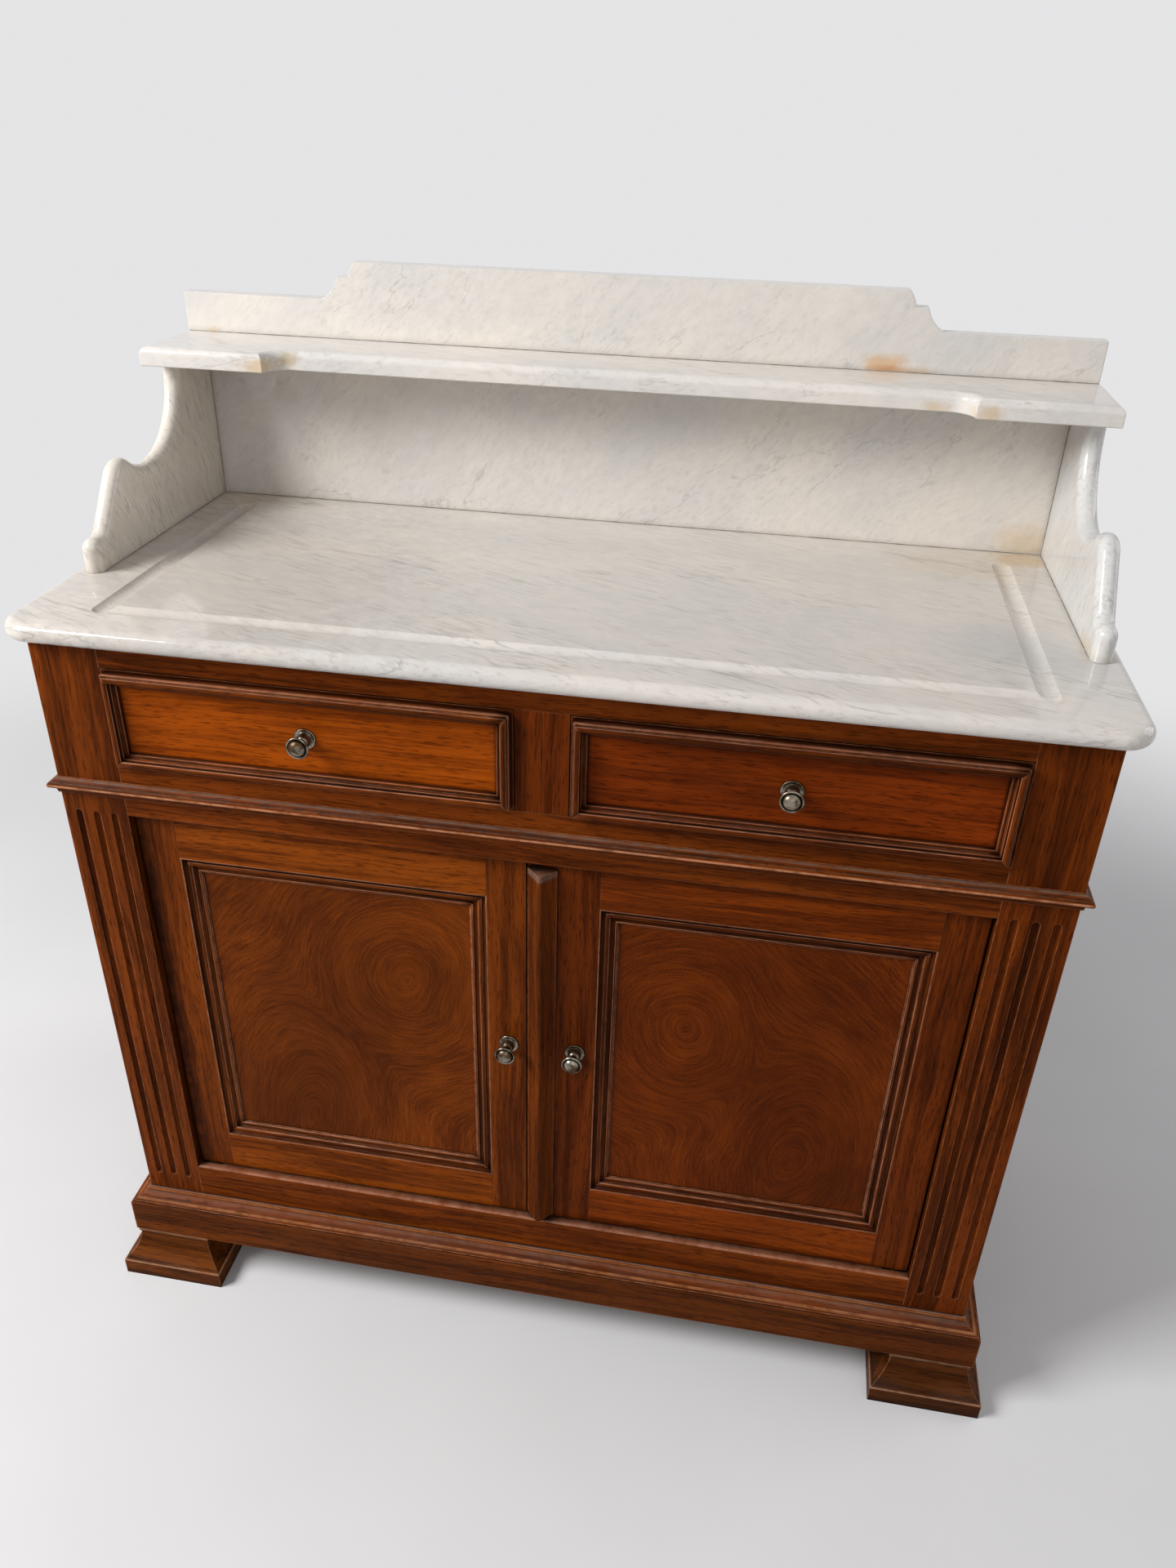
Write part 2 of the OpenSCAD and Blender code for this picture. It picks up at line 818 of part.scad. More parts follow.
// Side panels at the right, or with grow > 0 their grooves
module side_panel_pair(grow = 0) {
    lows = [sill_top, mid_rail_top];
    highs = [mid_rail_z, cabinet_h - upper_rail_h];
    for (i = [0, 1])
        tenon([side_panel_x, post_d - groove_d, lows[i] - groove_d],
            [side_panel_t, rear_post_y - post_d + 2*groove_d, highs[i] - lows[i] + 2*groove_d],
            grow);
}

// ---------- cabinet ----------

module flute(x) {
    low = base_z + base_h + flute_low_gap + flute_w/2;
    high = belt_z - flute_high_gap - flute_w/2;
    translate([x, 0, low])
        cylinder(d = flute_w, h = high - low, $fn = fine);
    for (z = [low, high])
        translate([x, 0, z])
            sphere(d = flute_w, $fn = fine);
}

module front_post() {
    difference() {
        board([post_in, 0, foot_h], [post_w, post_d, cabinet_h - foot_h]);
        for (i = [-1, 0, 1])
            flute(post_in + post_w/2 + i*flute_pitch);
        front_tenons(wood_fit);
        side_tenons(wood_fit);
        side_panel_pair(wood_fit);
    }
}

module front_post_right() color("#6b2f16") placed()
    front_post();

module front_post_left() color("#6b2f16") placed()
    mirror([1, 0, 0])
        front_post();

module rear_posts() color("#5f2a15") placed()
    both_sides()
        difference() {
            board([rear_post_in, rear_post_y, foot_h],
                [rear_post_w, post_d, cabinet_h - foot_h]);
            side_tenons(wood_fit);
            back_tenons(wood_fit);
            side_panel_pair(wood_fit);
        }

module back_rails() color("#7a5a3c") placed() {
    for (row = back_rail_rows)
        board([-rear_post_in, back_rail_y, row[0]],
            [2*rear_post_in, side_rail_t, row[1]]);
    both_sides()
        back_tenons();
}

module side_rails() color("#6b2f16") placed()
    both_sides()
        difference() {
            union() {
                for (row = side_rail_rows)
                    board([side_in, post_d, row[0]],
                        [side_rail_t, rear_post_y - post_d, row[1]]);
                side_tenons();
            }
            side_panel_pair(wood_fit);
        }

module side_panels() color("#6b2f16") placed()
    both_sides()
        side_panel_pair();

module top_rail() color("#6b2f16") placed()
    difference() {
        union() {
            board([-post_in, 0, cabinet_h - top_rail_h], [2*post_in, top_rail_d, top_rail_h]);
            both_sides()
                front_tenon(cabinet_h - top_rail_h, top_rail_h);
        }
        divider_tenons(wood_fit);
    }

// Stub tenons of the divider in the rails above and below it
module divider_tenons(grow = 0) {
    w = divider_w/2 - 2*tenon_shoulder;
    for (z = [mid_rail_top - tenon_t, cabinet_h - top_rail_h])
        both_sides()
            tenon([tenon_shoulder, front_tenon_y, z], [w, tenon_t, tenon_t], grow);
}

module drawer_divider() color("#6b2f16") placed() {
    board_pair([divider_joint/2, 0, mid_rail_top],
        [(divider_w - divider_joint)/2, post_d, drawer_opening_h]);
    divider_tenons();
}

module mid_rail() color("#6b2f16") placed()
    difference() {
        union() {
            board([-post_in, 0, mid_rail_z], [2*post_in, post_d, mid_rail_h]);
            both_sides()
                front_tenon(mid_rail_z, mid_rail_h);
        }
        divider_tenons(wood_fit);
        pivot_set(wood_fit);
    }

module bottom_rail() color("#6b2f16") placed()
    difference() {
        union() {
            rotate([90, 0, 90])
                linear_extrude(2*post_in, center = true)
                    union() {
                        translate([0, foot_h])
                            square([post_d, sill_h - sill_r]);
                        translate([sill_r, foot_h])
                            square([post_d - sill_r, sill_h]);
                        translate([sill_r, sill_top - sill_r])
                            circle(r = sill_r, $fn = fine);
                    }
            both_sides()
                front_tenon(foot_h, sill_h);
        }
        pivot_set(wood_fit);
    }

// ---------- mouldings round three sides ----------
// The children give the section in (projection, height); reach is its projection.

module front_length(reach) {
    slant = mitre_gap/sqrt(2);
    intersection() {
        rotate([90, 0, -90])
            linear_extrude(2*(half_w + reach), center = true)
                children();
        translate([0, 0, 0])
            linear_extrude(cabinet_h)
                polygon([
                    [-half_w - reach + slant, -reach],
                    [half_w + reach - slant, -reach],
                    [half_w - slant, 0],
                    [-half_w + slant, 0]
                ]);
    }
}

module side_length(reach) {
    slant = mitre_gap/sqrt(2);
    intersection() {
        translate([half_w, cabinet_d, 0])
            rotate([90, 0, 0])
                linear_extrude(cabinet_d + reach)
                    children();
        linear_extrude(cabinet_h)
            polygon([
                [half_w, slant],
                [half_w + reach, slant - reach],
                [half_w + reach, cabinet_d],
                [half_w, cabinet_d]
            ]);
    }
}

module three_sides(reach) {
    front_length(reach)
        children();
    both_sides()
        side_length(reach)
            children();
}

module belt_section() {
    bead_r = belt_out*0.39;
    translate([0, belt_z])
        union() {
            polygon([
                [0, 0],
                [belt_out*0.22, belt_h*0.06],
                [belt_out*0.33, belt_h*0.32],
                [belt_out*0.55, belt_h*0.36],
                [belt_out - bead_r, belt_h*0.6],
                [belt_out*0.78, belt_h*0.76],
                [0, belt_h]
            ]);
            translate([belt_out - bead_r, belt_h*0.58])
                circle(r = bead_r, $fn = fine);
        }
}

module belt_moulding() color("#6b2f16") placed()
    three_sides(belt_out)
        belt_section();

module base_section() {
    fillet = base_h/7;
    lip = 3;
    run = base_out - lip;
    rise = base_h - 2*fillet;
    hollow_r = (run*run + rise*rise)/(2*rise);
    translate([0, base_z])
        difference() {
            union() {
                square([base_out, base_h - fillet]);
                square([lip, base_h]);
            }
            translate([base_out, fillet + hollow_r])
                circle(r = hollow_r, $fn = fine);
        }
}

module base_moulding() color("#6b2f16") placed()
    three_sides(base_out)
        base_section();

module plinth_section() {
    translate([0, foot_h])
        union() {
            square([plinth_t, plinth_h - plinth_r]);
            square([plinth_t - plinth_r, plinth_h]);
            translate([plinth_t - plinth_r, plinth_h - plinth_r])
                circle(r = plinth_r, $fn = fine);
        }
}

module plinth_front() color("#6b2f16") placed()
    front_length(plinth_t)
        plinth_section();

module plinth_returns() color("#6b2f16") placed()
    both_sides()
        side_length(plinth_t)
            plinth_section();

// ---------- feet ----------

// Section of a foot of top width w, hollowed on the right and, if two, on the left
module foot_section(w, two) {
    run = foot_spread + foot_fillet_in - foot_ledge;
    rise = foot_h - foot_slab_h - foot_fillet_h;
    hollow_r = (run*run + rise*rise)/(2*run);
    left = two ? foot_spread : 0;
    translate([-left, 0])
        square([w + left + foot_spread, foot_slab_h]);
    difference() {
        translate([-left, foot_slab_h - foot_ledge])
            square([w + left + foot_spread, rise + foot_ledge]);
        translate([w - foot_fillet_in + hollow_r, foot_slab_h + rise])
            circle(r = hollow_r, $fn = fine);
        if (two)
            translate([foot_fillet_in - hollow_r, foot_slab_h + rise])
                circle(r = hollow_r, $fn = fine);
    }
    translate([0, foot_slab_h + rise])
        square([w, foot_fillet_h]);
}

// Right foot with its flat back at y
module foot(y) {
    top_out = half_w + foot_side_out;
    intersection() {
        translate([top_out - foot_top_w, y, 0])
            rotate([90, 0, 0])
                linear_extrude(foot_top_d + foot_spread)
                    foot_section(foot_top_w, true);
        translate([0, y, 0])
            rotate([90, 0, -90])
                linear_extrude(4*top_out, center = true)
                    foot_section(foot_top_d, false);
    }
}

front_foot_y = foot_top_d - foot_front_out;

module front_foot_right() color("#6b2f16") placed()
    foot(front_foot_y);

module front_foot_left() color("#6b2f16") placed()
    mirror([1, 0, 0])
        foot(front_foot_y);

module rear_foot_right() color("#6b2f16") placed()
    foot(cabinet_d);

module rear_foot_left() color("#6b2f16") placed()
    mirror([1, 0, 0])
        foot(cabinet_d);

// ---------- inside of the cabinet ----------

module cupboard_floor() color("#8a6844") placed()
    difference() {
        board([-side_in, post_d, floor_z], [2*side_in, back_rail_y - post_d, floor_t]);
        board_pair([rear_post_in, rear_post_y, foot_h], [rear_post_w, post_d, cabinet_h]);
    }

module back_boards() color("#8a6844") placed() {
    w = cabinet_w/back_boards_n;
    for (i = [0:back_boards_n - 1])
        board([-half_w + i*w + mitre_gap/2, back_y, foot_h],
            [w - mitre_gap, back_t, cabinet_h - foot_h]);
}

module cupboard_shelf() color("#8a6844") placed()
    board([-side_panel_x + wood_fit, shelf_set, shelf_low_z],
        [2*(side_panel_x - wood_fit), rear_post_y - shelf_set - wood_fit, shelf_t]);

module battens() color("#8a6844") placed() {
    l = rear_post_y - post_d;
    board_pair([side_in - batten_w, post_d, floor_z - batten_h], [batten_w, l, batten_h]);
    board_pair([side_panel_x - batten_w, post_d, shelf_low_z - batten_h],
        [batten_w, l, batten_h]);
}

module drawer_runners() color("#8a6844") placed() {
    inner = divider_w/2 + runner_bear;
    outer = post_in - runner_bear;
    board([-inner, post_d, runner_z], [2*inner, back_y - post_d, runner_t]);
    board_pair([outer, post_d, runner_z], [side_in - outer, rear_post_y - post_d, runner_t]);
}

module drawer_guides() color("#8a6844") placed() {
    board([-divider_w/2, post_d, mid_rail_top], [divider_w, back_y - post_d, guide_h]);
    board_pair([post_in, post_d, mid_rail_top],
        [side_in - post_in, rear_post_y - post_d, guide_h]);
}

module glue_blocks() color("#8a6844") placed()
    for (y = [post_d, rear_post_y - block_s])
        board_pair([side_in - block_s, y, foot_h], [block_s, block_s, block_s]);

// ---------- pivots ----------

// One pivot plate with its pin; its face is at z = 0 and the pin points up
module pivot(grow = 0) {
    plate_half = plate_l/2;
    back = min(pivot_edge, plate_half);
    translate([back - plate_l - grow, -plate_w/2 - grow, -plate_t - grow])
        cube([plate_l + 2*grow, plate_w + 2*grow, plate_t + grow + (grow > 0 ? 1 : 0)]);
    translate([0, 0, -plate_t - pivot_tail - grow])
        cylinder(d = pivot_dia + 2*grow, h = plate_t + pivot_tail + grow, $fn = fine);
}

module pivot_pin_reach() {
    translate([0, 0, -plate_t])
        cylinder(d = pivot_dia, h = plate_t + door_gap + pivot_reach, $fn = fine);
}

module pivot_set(grow = 0) {
    both_sides() {
        translate([pivot_x, pivot_y, sill_top])
            pivot(grow);
        translate([pivot_x, pivot_y, mid_rail_z])
            mirror([0, 0, 1])
                pivot(grow);
    }
}

module pivot_pins() color("#5b5146") placed() {
    pivot_set();
    both_sides() {
        translate([pivot_x, pivot_y, sill_top])
            pivot_pin_reach();
        translate([pivot_x, pivot_y, mid_rail_z])
            mirror([0, 0, 1])
                pivot_pin_reach();
    }
}

// Bush let into the lower end of a stile, its rim in the gap under the door
module bush() {
    difference() {
        translate([0, 0, door_gap - bush_lip])
            union() {
                cylinder(r = bush_r + bush_rim, h = bush_lip, $fn = fine);
                cylinder(r = bush_r, h = bush_lip + bush_h, $fn = fine);
            }
        translate([0, 0, -1])
            cylinder(r = bush_in_r, h = bush_h + door_gap + 2, $fn = fine);
    }
}

module door_bushes() {
    translate([pivot_x, pivot_y, sill_top])
        bush();
    translate([pivot_x, pivot_y, mid_rail_z])
        mirror([0, 0, 1])
            bush();
}

module bush_holes() {
    depth = bush_h + wood_fit;
    for (z = [door_z - 1, door_z + door_h - depth])
        translate([pivot_x, pivot_y, z])
            cylinder(r = bush_r + wood_fit, h = depth + 1, $fn = fine);
}

// ---------- knobs, pointing up from z = 0 ----------

module knob() {
    rim_z = knob_out - 2*knob_rim_r;
    rotate_extrude($fn = fine) {
        translate([0, -knob_screw_l])
            square([knob_screw_r, knob_screw_l + rose_h + 1]);
        translate([0, rose_h])
            square([knob_neck_r, rim_z - rose_h]);
        polygon([
            [0, rim_z - knob_neck_r],
            [knob_neck_r, rim_z - knob_neck_r],
            [knob_rim_x, rim_z - knob_rim_r*0.55],
            [knob_rim_x, rim_z + knob_rim_r*0.6],
            [0, rim_z + knob_rim_r*0.6]
        ]);
        translate([knob_rim_x, rim_z])
            circle(r = knob_rim_r, $fn = fine);
        intersection() {
            translate([0, rim_z - knob_boss_r*0.2])
                circle(r = knob_boss_r*0.9, $fn = fine);
            translate([0, rim_z])
                square([knob_dia, knob_dia]);
        }
        intersection() {
            translate([0, knob_out - knob_pip_r])
                circle(r = knob_pip_r, $fn = fine);
            translate([0, rim_z])
                square([knob_dia, knob_dia]);
        }
    }
}

module rose() {
    hole_r = knob_screw_r + knob_screw_fit;
    dome_flat = rose_h - rose_edge_h;
    dome_curve = (rose_dome_r*rose_dome_r + dome_flat*dome_flat)/(2*dome_flat);
    rotate_extrude($fn = fine)
        difference() {
            union() {
                square([rose_dia/2 - rose_edge_h/2, rose_edge_h]);
                translate([rose_dia/2 - rose_edge_h/2, rose_edge_h/2])
                    circle(d = rose_edge_h, $fn = fine);
                intersection() {
                    translate([0, rose_h - dome_curve])
                        circle(r = dome_curve, $fn = fine);
                    square([rose_dome_r + 1, rose_h]);
                }
            }
            translate([-1, -1])
                square([hole_r + 1, rose_h + 2]);
        }
}

module knob_hole() {
    translate([0, 0, -knob_screw_l - knob_screw_fit])
        cylinder(r = knob_screw_r + knob_screw_fit, h = knob_screw_l + 1, $fn = fine);
}

// Turns a knob to point out of the front at x, z from a face at y
module at_front(x, y, z) {
    translate([x, y, z])
        rotate([90, 0, 0])
            children();
}

// ---------- drawers, drawn at the right ----------

// Side board of a drawer in (depth, height), with its dovetails at the front
module drawer_side_outline() {
    translate([drawer_front_t, 0])
        square([drawer_l - drawer_front_t, drawer_side_h]);
    dovetail_outline();
}

module dovetail_outline(grow = 0) {
    for (i = [0:dovetail_n - 1]) {
        mid = (i + 0.5)*dovetail_step;
        wide = dovetail_h/2 + grow;
        slim = wide - dovetail_slope;
        polygon([
            [dovetail_lap - grow, mid - wide],
            [drawer_front_t + 1, mid - slim],
            [drawer_front_t + 1, mid + slim],
            [dovetail_lap - grow, mid + wide]
        ]);
    }
}

module drawer_bottom_board(grow = 0) {
    in = drawer_side_t - drawer_groove_d;
    tenon([drawer_in + in, drawer_bottom_y, drawer_bottom_z],
        [drawer_w - 2*in, drawer_l - drawer_bottom_y, drawer_bottom_t], grow);
}

module drawer_front() {
    difference() {
        board([drawer_in, 0, drawer_z], [drawer_w, drawer_front_t, drawer_h]);
        for (x = [drawer_in - 1, drawer_out - drawer_side_t - wood_fit])
            translate([x, 0, drawer_side_z])
                rotate([90, 0, 90])
                    linear_extrude(drawer_side_t + wood_fit + 1)
                        dovetail_outline(wood_fit);
        drawer_bottom_board(wood_fit);
        at_front(drawer_knob_x, 0, knob_z)
            knob_hole();
    }
}

module drawer_box() {
    back_z = drawer_bottom_z + drawer_bottom_t + wood_fit;
    difference() {
        for (x = [drawer_in, drawer_out - drawer_side_t])
            translate([x, 0, drawer_side_z])
                rotate([90, 0, 90])
                    linear_extrude(drawer_side_t)
                        drawer_side_outline();
        drawer_bottom_board(wood_fit);
    }
    board([drawer_in + drawer_side_t + wood_fit, drawer_l - drawer_side_t, back_z],
        [drawer_w - 2*drawer_side_t - 2*wood_fit, drawer_side_t,
            drawer_side_z + drawer_side_h - drawer_back_drop - back_z]);
}

// Section of the moulding on a drawer front, in (inward, proud of the face)
module lip_section() {
    bead_x = lip_bead_r + 1.7;
    bead_z = lip_h - lip_bead_r;
    inner_x = lip_w - lip_small_r - 0.2;
    slope_x = inner_x - lip_small_r*0.6;
    difference() {
        union() {
            polygon([
                [0, 0],
                [0, lip_edge_h],
                [bead_x - lip_bead_r, bead_z],
                [bead_x + lip_bead_r, bead_z],
                [slope_x, lip_small_r*1.6],
                [lip_w - 0.2, lip_small_r],
                [lip_w - 0.2, 0]
            ]);
            translate([bead_x, bead_z])
                circle(r = lip_bead_r, $fn = fine);
            translate([inner_x, lip_small_r + 0.4])
                circle(r = lip_small_r, $fn = fine);
        }
        translate([bead_x + lip_bead_r + 3.3, bead_z + 0.2])
            circle(r = 3.6, $fn = fine);
        translate([0, -lip_w])
            square(lip_w);
    }
}

// Four mitred lengths of a moulding round the inside of a rectangle in XZ at y.
// The children give the section in (inward, towards the viewer).
module picture_frame(at, w, h, y, reach) {
    slant = mitre_gap/sqrt(2);
    translate([at.x, y, at.y]) {
        for (turn = [0, 1])
            translate([turn*w, 0, turn*h])
                rotate([0, turn*180, 0]) {
                    frame_length(w, reach, slant)
                        children();
                    translate([0, 0, h])
                        rotate([0, 90, 0])
                            frame_length(h, reach, slant)
                                children();
                }
    }
}

// One length from x = 0 to len, its outer edge on z = 0, mitred at both ends
module frame_length(len, reach, slant) {
    intersection() {
        multmatrix([[0, 0, 1, 0], [0, -1, 0, 0], [1, 0, 0, 0], [0, 0, 0, 1]])
            linear_extrude(len)
                children();
        rotate([90, 0, 0])
            linear_extrude(4*reach, center = true)
                polygon([
                    [slant, 0],
                    [len - slant, 0],
                    [len - slant - reach, reach],
                    [slant + reach, reach]
                ]);
    }
}

module drawer_moulding() {
    picture_frame([drawer_in + lip_in, drawer_z + lip_in], drawer_w - 2*lip_in,
        drawer_h - 2*lip_in, 0, lip_w)
        lip_section();
}

module drawer_knob() {
    at_front(drawer_knob_x, 0, knob_z)
        knob();
}

module drawer_rose() {
    at_front(drawer_knob_x, 0, knob_z)
        rose();
}

module right_drawer_front() color("#6b2f16") placed()
    drawer_front();

module left_drawer_front() color("#6b2f16") placed()
    mirror([1, 0, 0])
        drawer_front();

module right_drawer_moulding() color("#6b2f16") placed()
    drawer_moulding();

module left_drawer_moulding() color("#6b2f16") placed()
    mirror([1, 0, 0])
        drawer_moulding();

module right_drawer_box() color("#8a6844") placed()
    drawer_box();

module left_drawer_box() color("#8a6844") placed()
    mirror([1, 0, 0])
        drawer_box();

module right_drawer_bottom() color("#8a6844") placed()
    drawer_bottom_board();

module left_drawer_bottom() color("#8a6844") placed()
    mirror([1, 0, 0])
        drawer_bottom_board();

module right_drawer_knob() color("#6d6350") placed()
    drawer_knob();

module left_drawer_knob() color("#6d6350") placed()
    mirror([1, 0, 0])
        drawer_knob();

module right_drawer_rose() color("#6d6350") placed()
    drawer_rose();

module left_drawer_rose() color("#6d6350") placed()
    mirror([1, 0, 0])
        drawer_rose();

// ---------- doors, drawn at the right; edge is the x of the meeting edge ----------

module door_tenons(grow = 0) {
    rows = [
        [door_z, door_low_rail_h],
        [door_z + door_h - door_top_rail_h, door_top_rail_h]
    ];
    for (row = rows)
        for (x = [panel_mid - tenon_l, opening_out])
            tenon([x, panel_y, row[0] + tenon_shoulder],
                [tenon_l, door_panel_t, row[1] - 2*tenon_shoulder], grow);
}

module door_panel(grow = 0) {
    tenon([panel_mid - groove_d, panel_y, opening_z - groove_d],
        [opening_w + 2*groove_d, door_panel_t, opening_h + 2*groove_d], grow);
}

module door_stiles(edge) {
    difference() {
        union() {
            board([edge, door_set, door_z], [panel_mid - edge, door_t, door_h]);
            translate([0, 0, door_z])
                linear_extrude(door_h)
                    union() {
                        translate([opening_out, door_set])
                            square([stile_w - stile_r, door_t]);
                        translate([opening_out, door_set + stile_r])
                            square([stile_w, door_t - stile_r]);
                        translate([door_out - stile_r, door_set + stile_r])
                            circle(r = stile_r, $fn = fine);
                    }
        }
        door_tenons(wood_fit);
        door_panel(wood_fit);
        bush_holes();
        at_front(door_knob_x, door_set, door_knob_z)
            knob_hole();
    }
}

module door_rails() {
    difference() {
        union() {
            board([panel_mid, door_set, door_z], [opening_w, door_t, door_low_rail_h]);
            board([panel_mid, door_set, door_z + door_h - door_top_rail_h],
                [opening_w, door_t, door_top_rail_h]);
            door_tenons();
        }
        door_panel(wood_fit);
    }
}

// Section of the moulding round a panel, in (inward, proud of the panel)
module frame_section() {
    outer_r = 4.6;
    rib_r = 2.4;
    rib_x = 8;
    rib_z = panel_depth - 2 - rib_r;
    inner_r = 1.8;
    inner_x = frame_mould_w - 1.4 - inner_r;
    difference() {
        union() {
            square([1.2, panel_depth]);
            square([rib_x, panel_depth - 1]);
            square([inner_x, rib_z - 0.8]);
            square([frame_mould_w, 1]);
            translate([rib_x, rib_z])
                circle(r = rib_r, $fn = fine);
            translate([inner_x, 1.4])
                circle(r = inner_r, $fn = fine);
        }
        translate([rib_x - rib_r + 0.2, panel_depth])
            circle(r = outer_r - 0.2, $fn = fine);
        translate([rib_x - rib_r/2, panel_depth - 2])
            square([rib_r, 3]);
        translate([rib_x + rib_r + 3, rib_z])
            circle(r = 2.6, $fn = fine);
        translate([0, -frame_mould_w])
            square([frame_mould_w, frame_mould_w]);
    }
    translate([rib_x, rib_z])
        circle(r = rib_r, $fn = fine);
}

module door_moulding() {
    picture_frame([panel_mid, opening_z], opening_w, opening_h, panel_y, frame_mould_w)
        frame_section();
}

module door_knob() {
    at_front(door_knob_x, door_set, door_knob_z)
        knob();
}

module door_rose() {
    at_front(door_knob_x, door_set, door_knob_z)
        rose();
}

// Section of the astragal, in (across, towards the back)
module astragal_section() {
    shoulder = [astragal_half - astragal_step, astragal_edge + astragal_step/2];
    ridge = [0, astragal_out - astragal_r];
    reach = norm(ridge - shoulder);
    lean = atan2(ridge.y - shoulder.y, shoulder.x) + asin(astragal_r/reach);
    quirk = astragal_r - astragal_quirk;
    touch = [quirk*sin(lean), ridge.y + quirk*cos(lean)];
    polygon([
        [-astragal_half, 0],
        [-astragal_half, -astragal_edge],
        [-shoulder.x, -shoulder.y],
        [-touch.x, -touch.y],
        [touch.x, -touch.y],
        [shoulder.x, -shoulder.y],
        [astragal_half, -astragal_edge],
        [astragal_half, 0]
    ]);
    translate(-ridge)
        circle(r = astragal_r, $fn = fine);
}

module astragal() color("#6b2f16") placed()
    translate([0, door_set, door_z + astragal_low])
        linear_extrude(door_h - astragal_low - astragal_high)
            astragal_section();

module right_door_stiles() color("#6b2f16") placed()
    door_stiles(-astragal_half);

module left_door_stiles() color("#6b2f16") placed()
    mirror([1, 0, 0])
        door_stiles(left_edge);

module right_door_rails() color("#6b2f16") placed()
    door_rails();

module left_door_rails() color("#6b2f16") placed()
    mirror([1, 0, 0])
        door_rails();

module right_door_panel() color("#6b2f16") placed()
    door_panel();

module left_door_panel() color("#6b2f16") placed()
    mirror([1, 0, 0])
        door_panel();

module right_door_moulding() color("#6b2f16") placed()
    door_moulding();

module left_door_moulding() color("#6b2f16") placed()
    mirror([1, 0, 0])
        door_moulding();

module right_door_knob() color("#6d6350") placed()
    door_knob();

module left_door_knob() color("#6d6350") placed()
    mirror([1, 0, 0])
        door_knob();

module right_door_rose() color("#6d6350") placed()
    door_rose();

module left_door_rose() color("#6d6350") placed()
    mirror([1, 0, 0])
        door_rose();

module right_door_bushes() color("#5b5146") placed()
    door_bushes();

module left_door_bushes() color("#5b5146") placed()
    mirror([1, 0, 0])
        door_bushes();

// ---------- the pieces ----------

marble_top();
marble_back();
marble_bracket_left();
marble_bracket_right();
marble_shelf();
marble_dowels();
front_post_left();
front_post_right();
rear_posts();
back_rails();
side_rails();
side_panels();
top_rail();
drawer_divider();
mid_rail();
belt_moulding();
bottom_rail();
base_moulding();
plinth_front();
plinth_returns();
front_foot_left();
front_foot_right();
rear_foot_left();
rear_foot_right();
cupboard_floor();
back_boards();
cupboard_shelf();
battens();
drawer_runners();
drawer_guides();
glue_blocks();
pivot_pins();
left_drawer_front();
left_drawer_moulding();
left_drawer_box();
left_drawer_bottom();
left_drawer_knob();
left_drawer_rose();
right_drawer_front();
right_drawer_moulding();
right_drawer_box();
right_drawer_bottom();
right_drawer_knob();
right_drawer_rose();
left_door_stiles();
left_door_rails();
left_door_panel();
left_door_moulding();
left_door_knob();
left_door_rose();
left_door_bushes();
right_door_stiles();
right_door_rails();
right_door_panel();
right_door_moulding();
right_door_knob();
right_door_rose();
right_door_bushes();
astragal();
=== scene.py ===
"""Looks of a wooden washstand with a marble top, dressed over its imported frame.

Everything is in metres, +Z up, with the front towards -Y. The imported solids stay
where they are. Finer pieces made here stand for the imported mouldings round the
drawers and the door panels, for the knobs and for the marble shelf, and thin
lines of cement are added between the marble plates.
"""

import logging
import math
from abc import ABC, abstractmethod
from dataclasses import dataclass, replace
from enum import Enum
from typing import Any, ClassVar, Iterable, Sequence

import bmesh
import bpy
from mathutils import Matrix, Vector

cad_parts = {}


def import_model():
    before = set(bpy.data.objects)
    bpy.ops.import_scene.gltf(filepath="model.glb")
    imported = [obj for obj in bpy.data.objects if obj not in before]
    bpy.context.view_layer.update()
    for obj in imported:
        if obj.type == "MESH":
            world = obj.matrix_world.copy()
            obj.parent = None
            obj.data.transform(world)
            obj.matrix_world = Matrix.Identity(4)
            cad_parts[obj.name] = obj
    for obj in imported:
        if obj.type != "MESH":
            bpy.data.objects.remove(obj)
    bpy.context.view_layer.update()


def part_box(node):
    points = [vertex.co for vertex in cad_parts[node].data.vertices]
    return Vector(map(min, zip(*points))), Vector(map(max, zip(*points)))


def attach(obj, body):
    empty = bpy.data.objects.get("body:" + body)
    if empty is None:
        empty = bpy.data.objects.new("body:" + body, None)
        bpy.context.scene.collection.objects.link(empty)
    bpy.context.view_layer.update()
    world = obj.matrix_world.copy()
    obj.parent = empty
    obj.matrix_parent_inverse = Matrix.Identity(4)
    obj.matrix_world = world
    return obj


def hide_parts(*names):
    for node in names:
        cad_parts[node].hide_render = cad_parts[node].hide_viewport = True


LOG = logging.getLogger("washstand")
MM = 0.001
VECTOR = "NodeSocketVector"
FLOAT = "NodeSocketFloat"

Colour = tuple[float, float, float]
Point = tuple[float, float, float]
Socket = bpy.types.NodeSocket

# near black laid in recesses: painted shade, with dirt
SOOT_AND_SHADE: Colour = (0.009, 0.0035, 0.0015)
# near black of painted shade lines in the quirks of mouldings
SHADE_LINE: Colour = (0.02, 0.006, 0.002)
# grey laid on what faces up: a little dust and a painted sheen
DUST_AND_SHEEN: Colour = (0.3, 0.28, 0.26)
RUST: Colour = (0.93, 0.62, 0.33)
OCHRE: Colour = (0.92, 0.76, 0.55)
THIN_POLISH = {"Specular IOR Level": 0.03}


class Grain(Enum):
    """Direction in which the fibres of a piece of wood run, named first."""

    ACROSS = "xyz"
    DEEP = "yxz"
    UPRIGHT = "zxy"


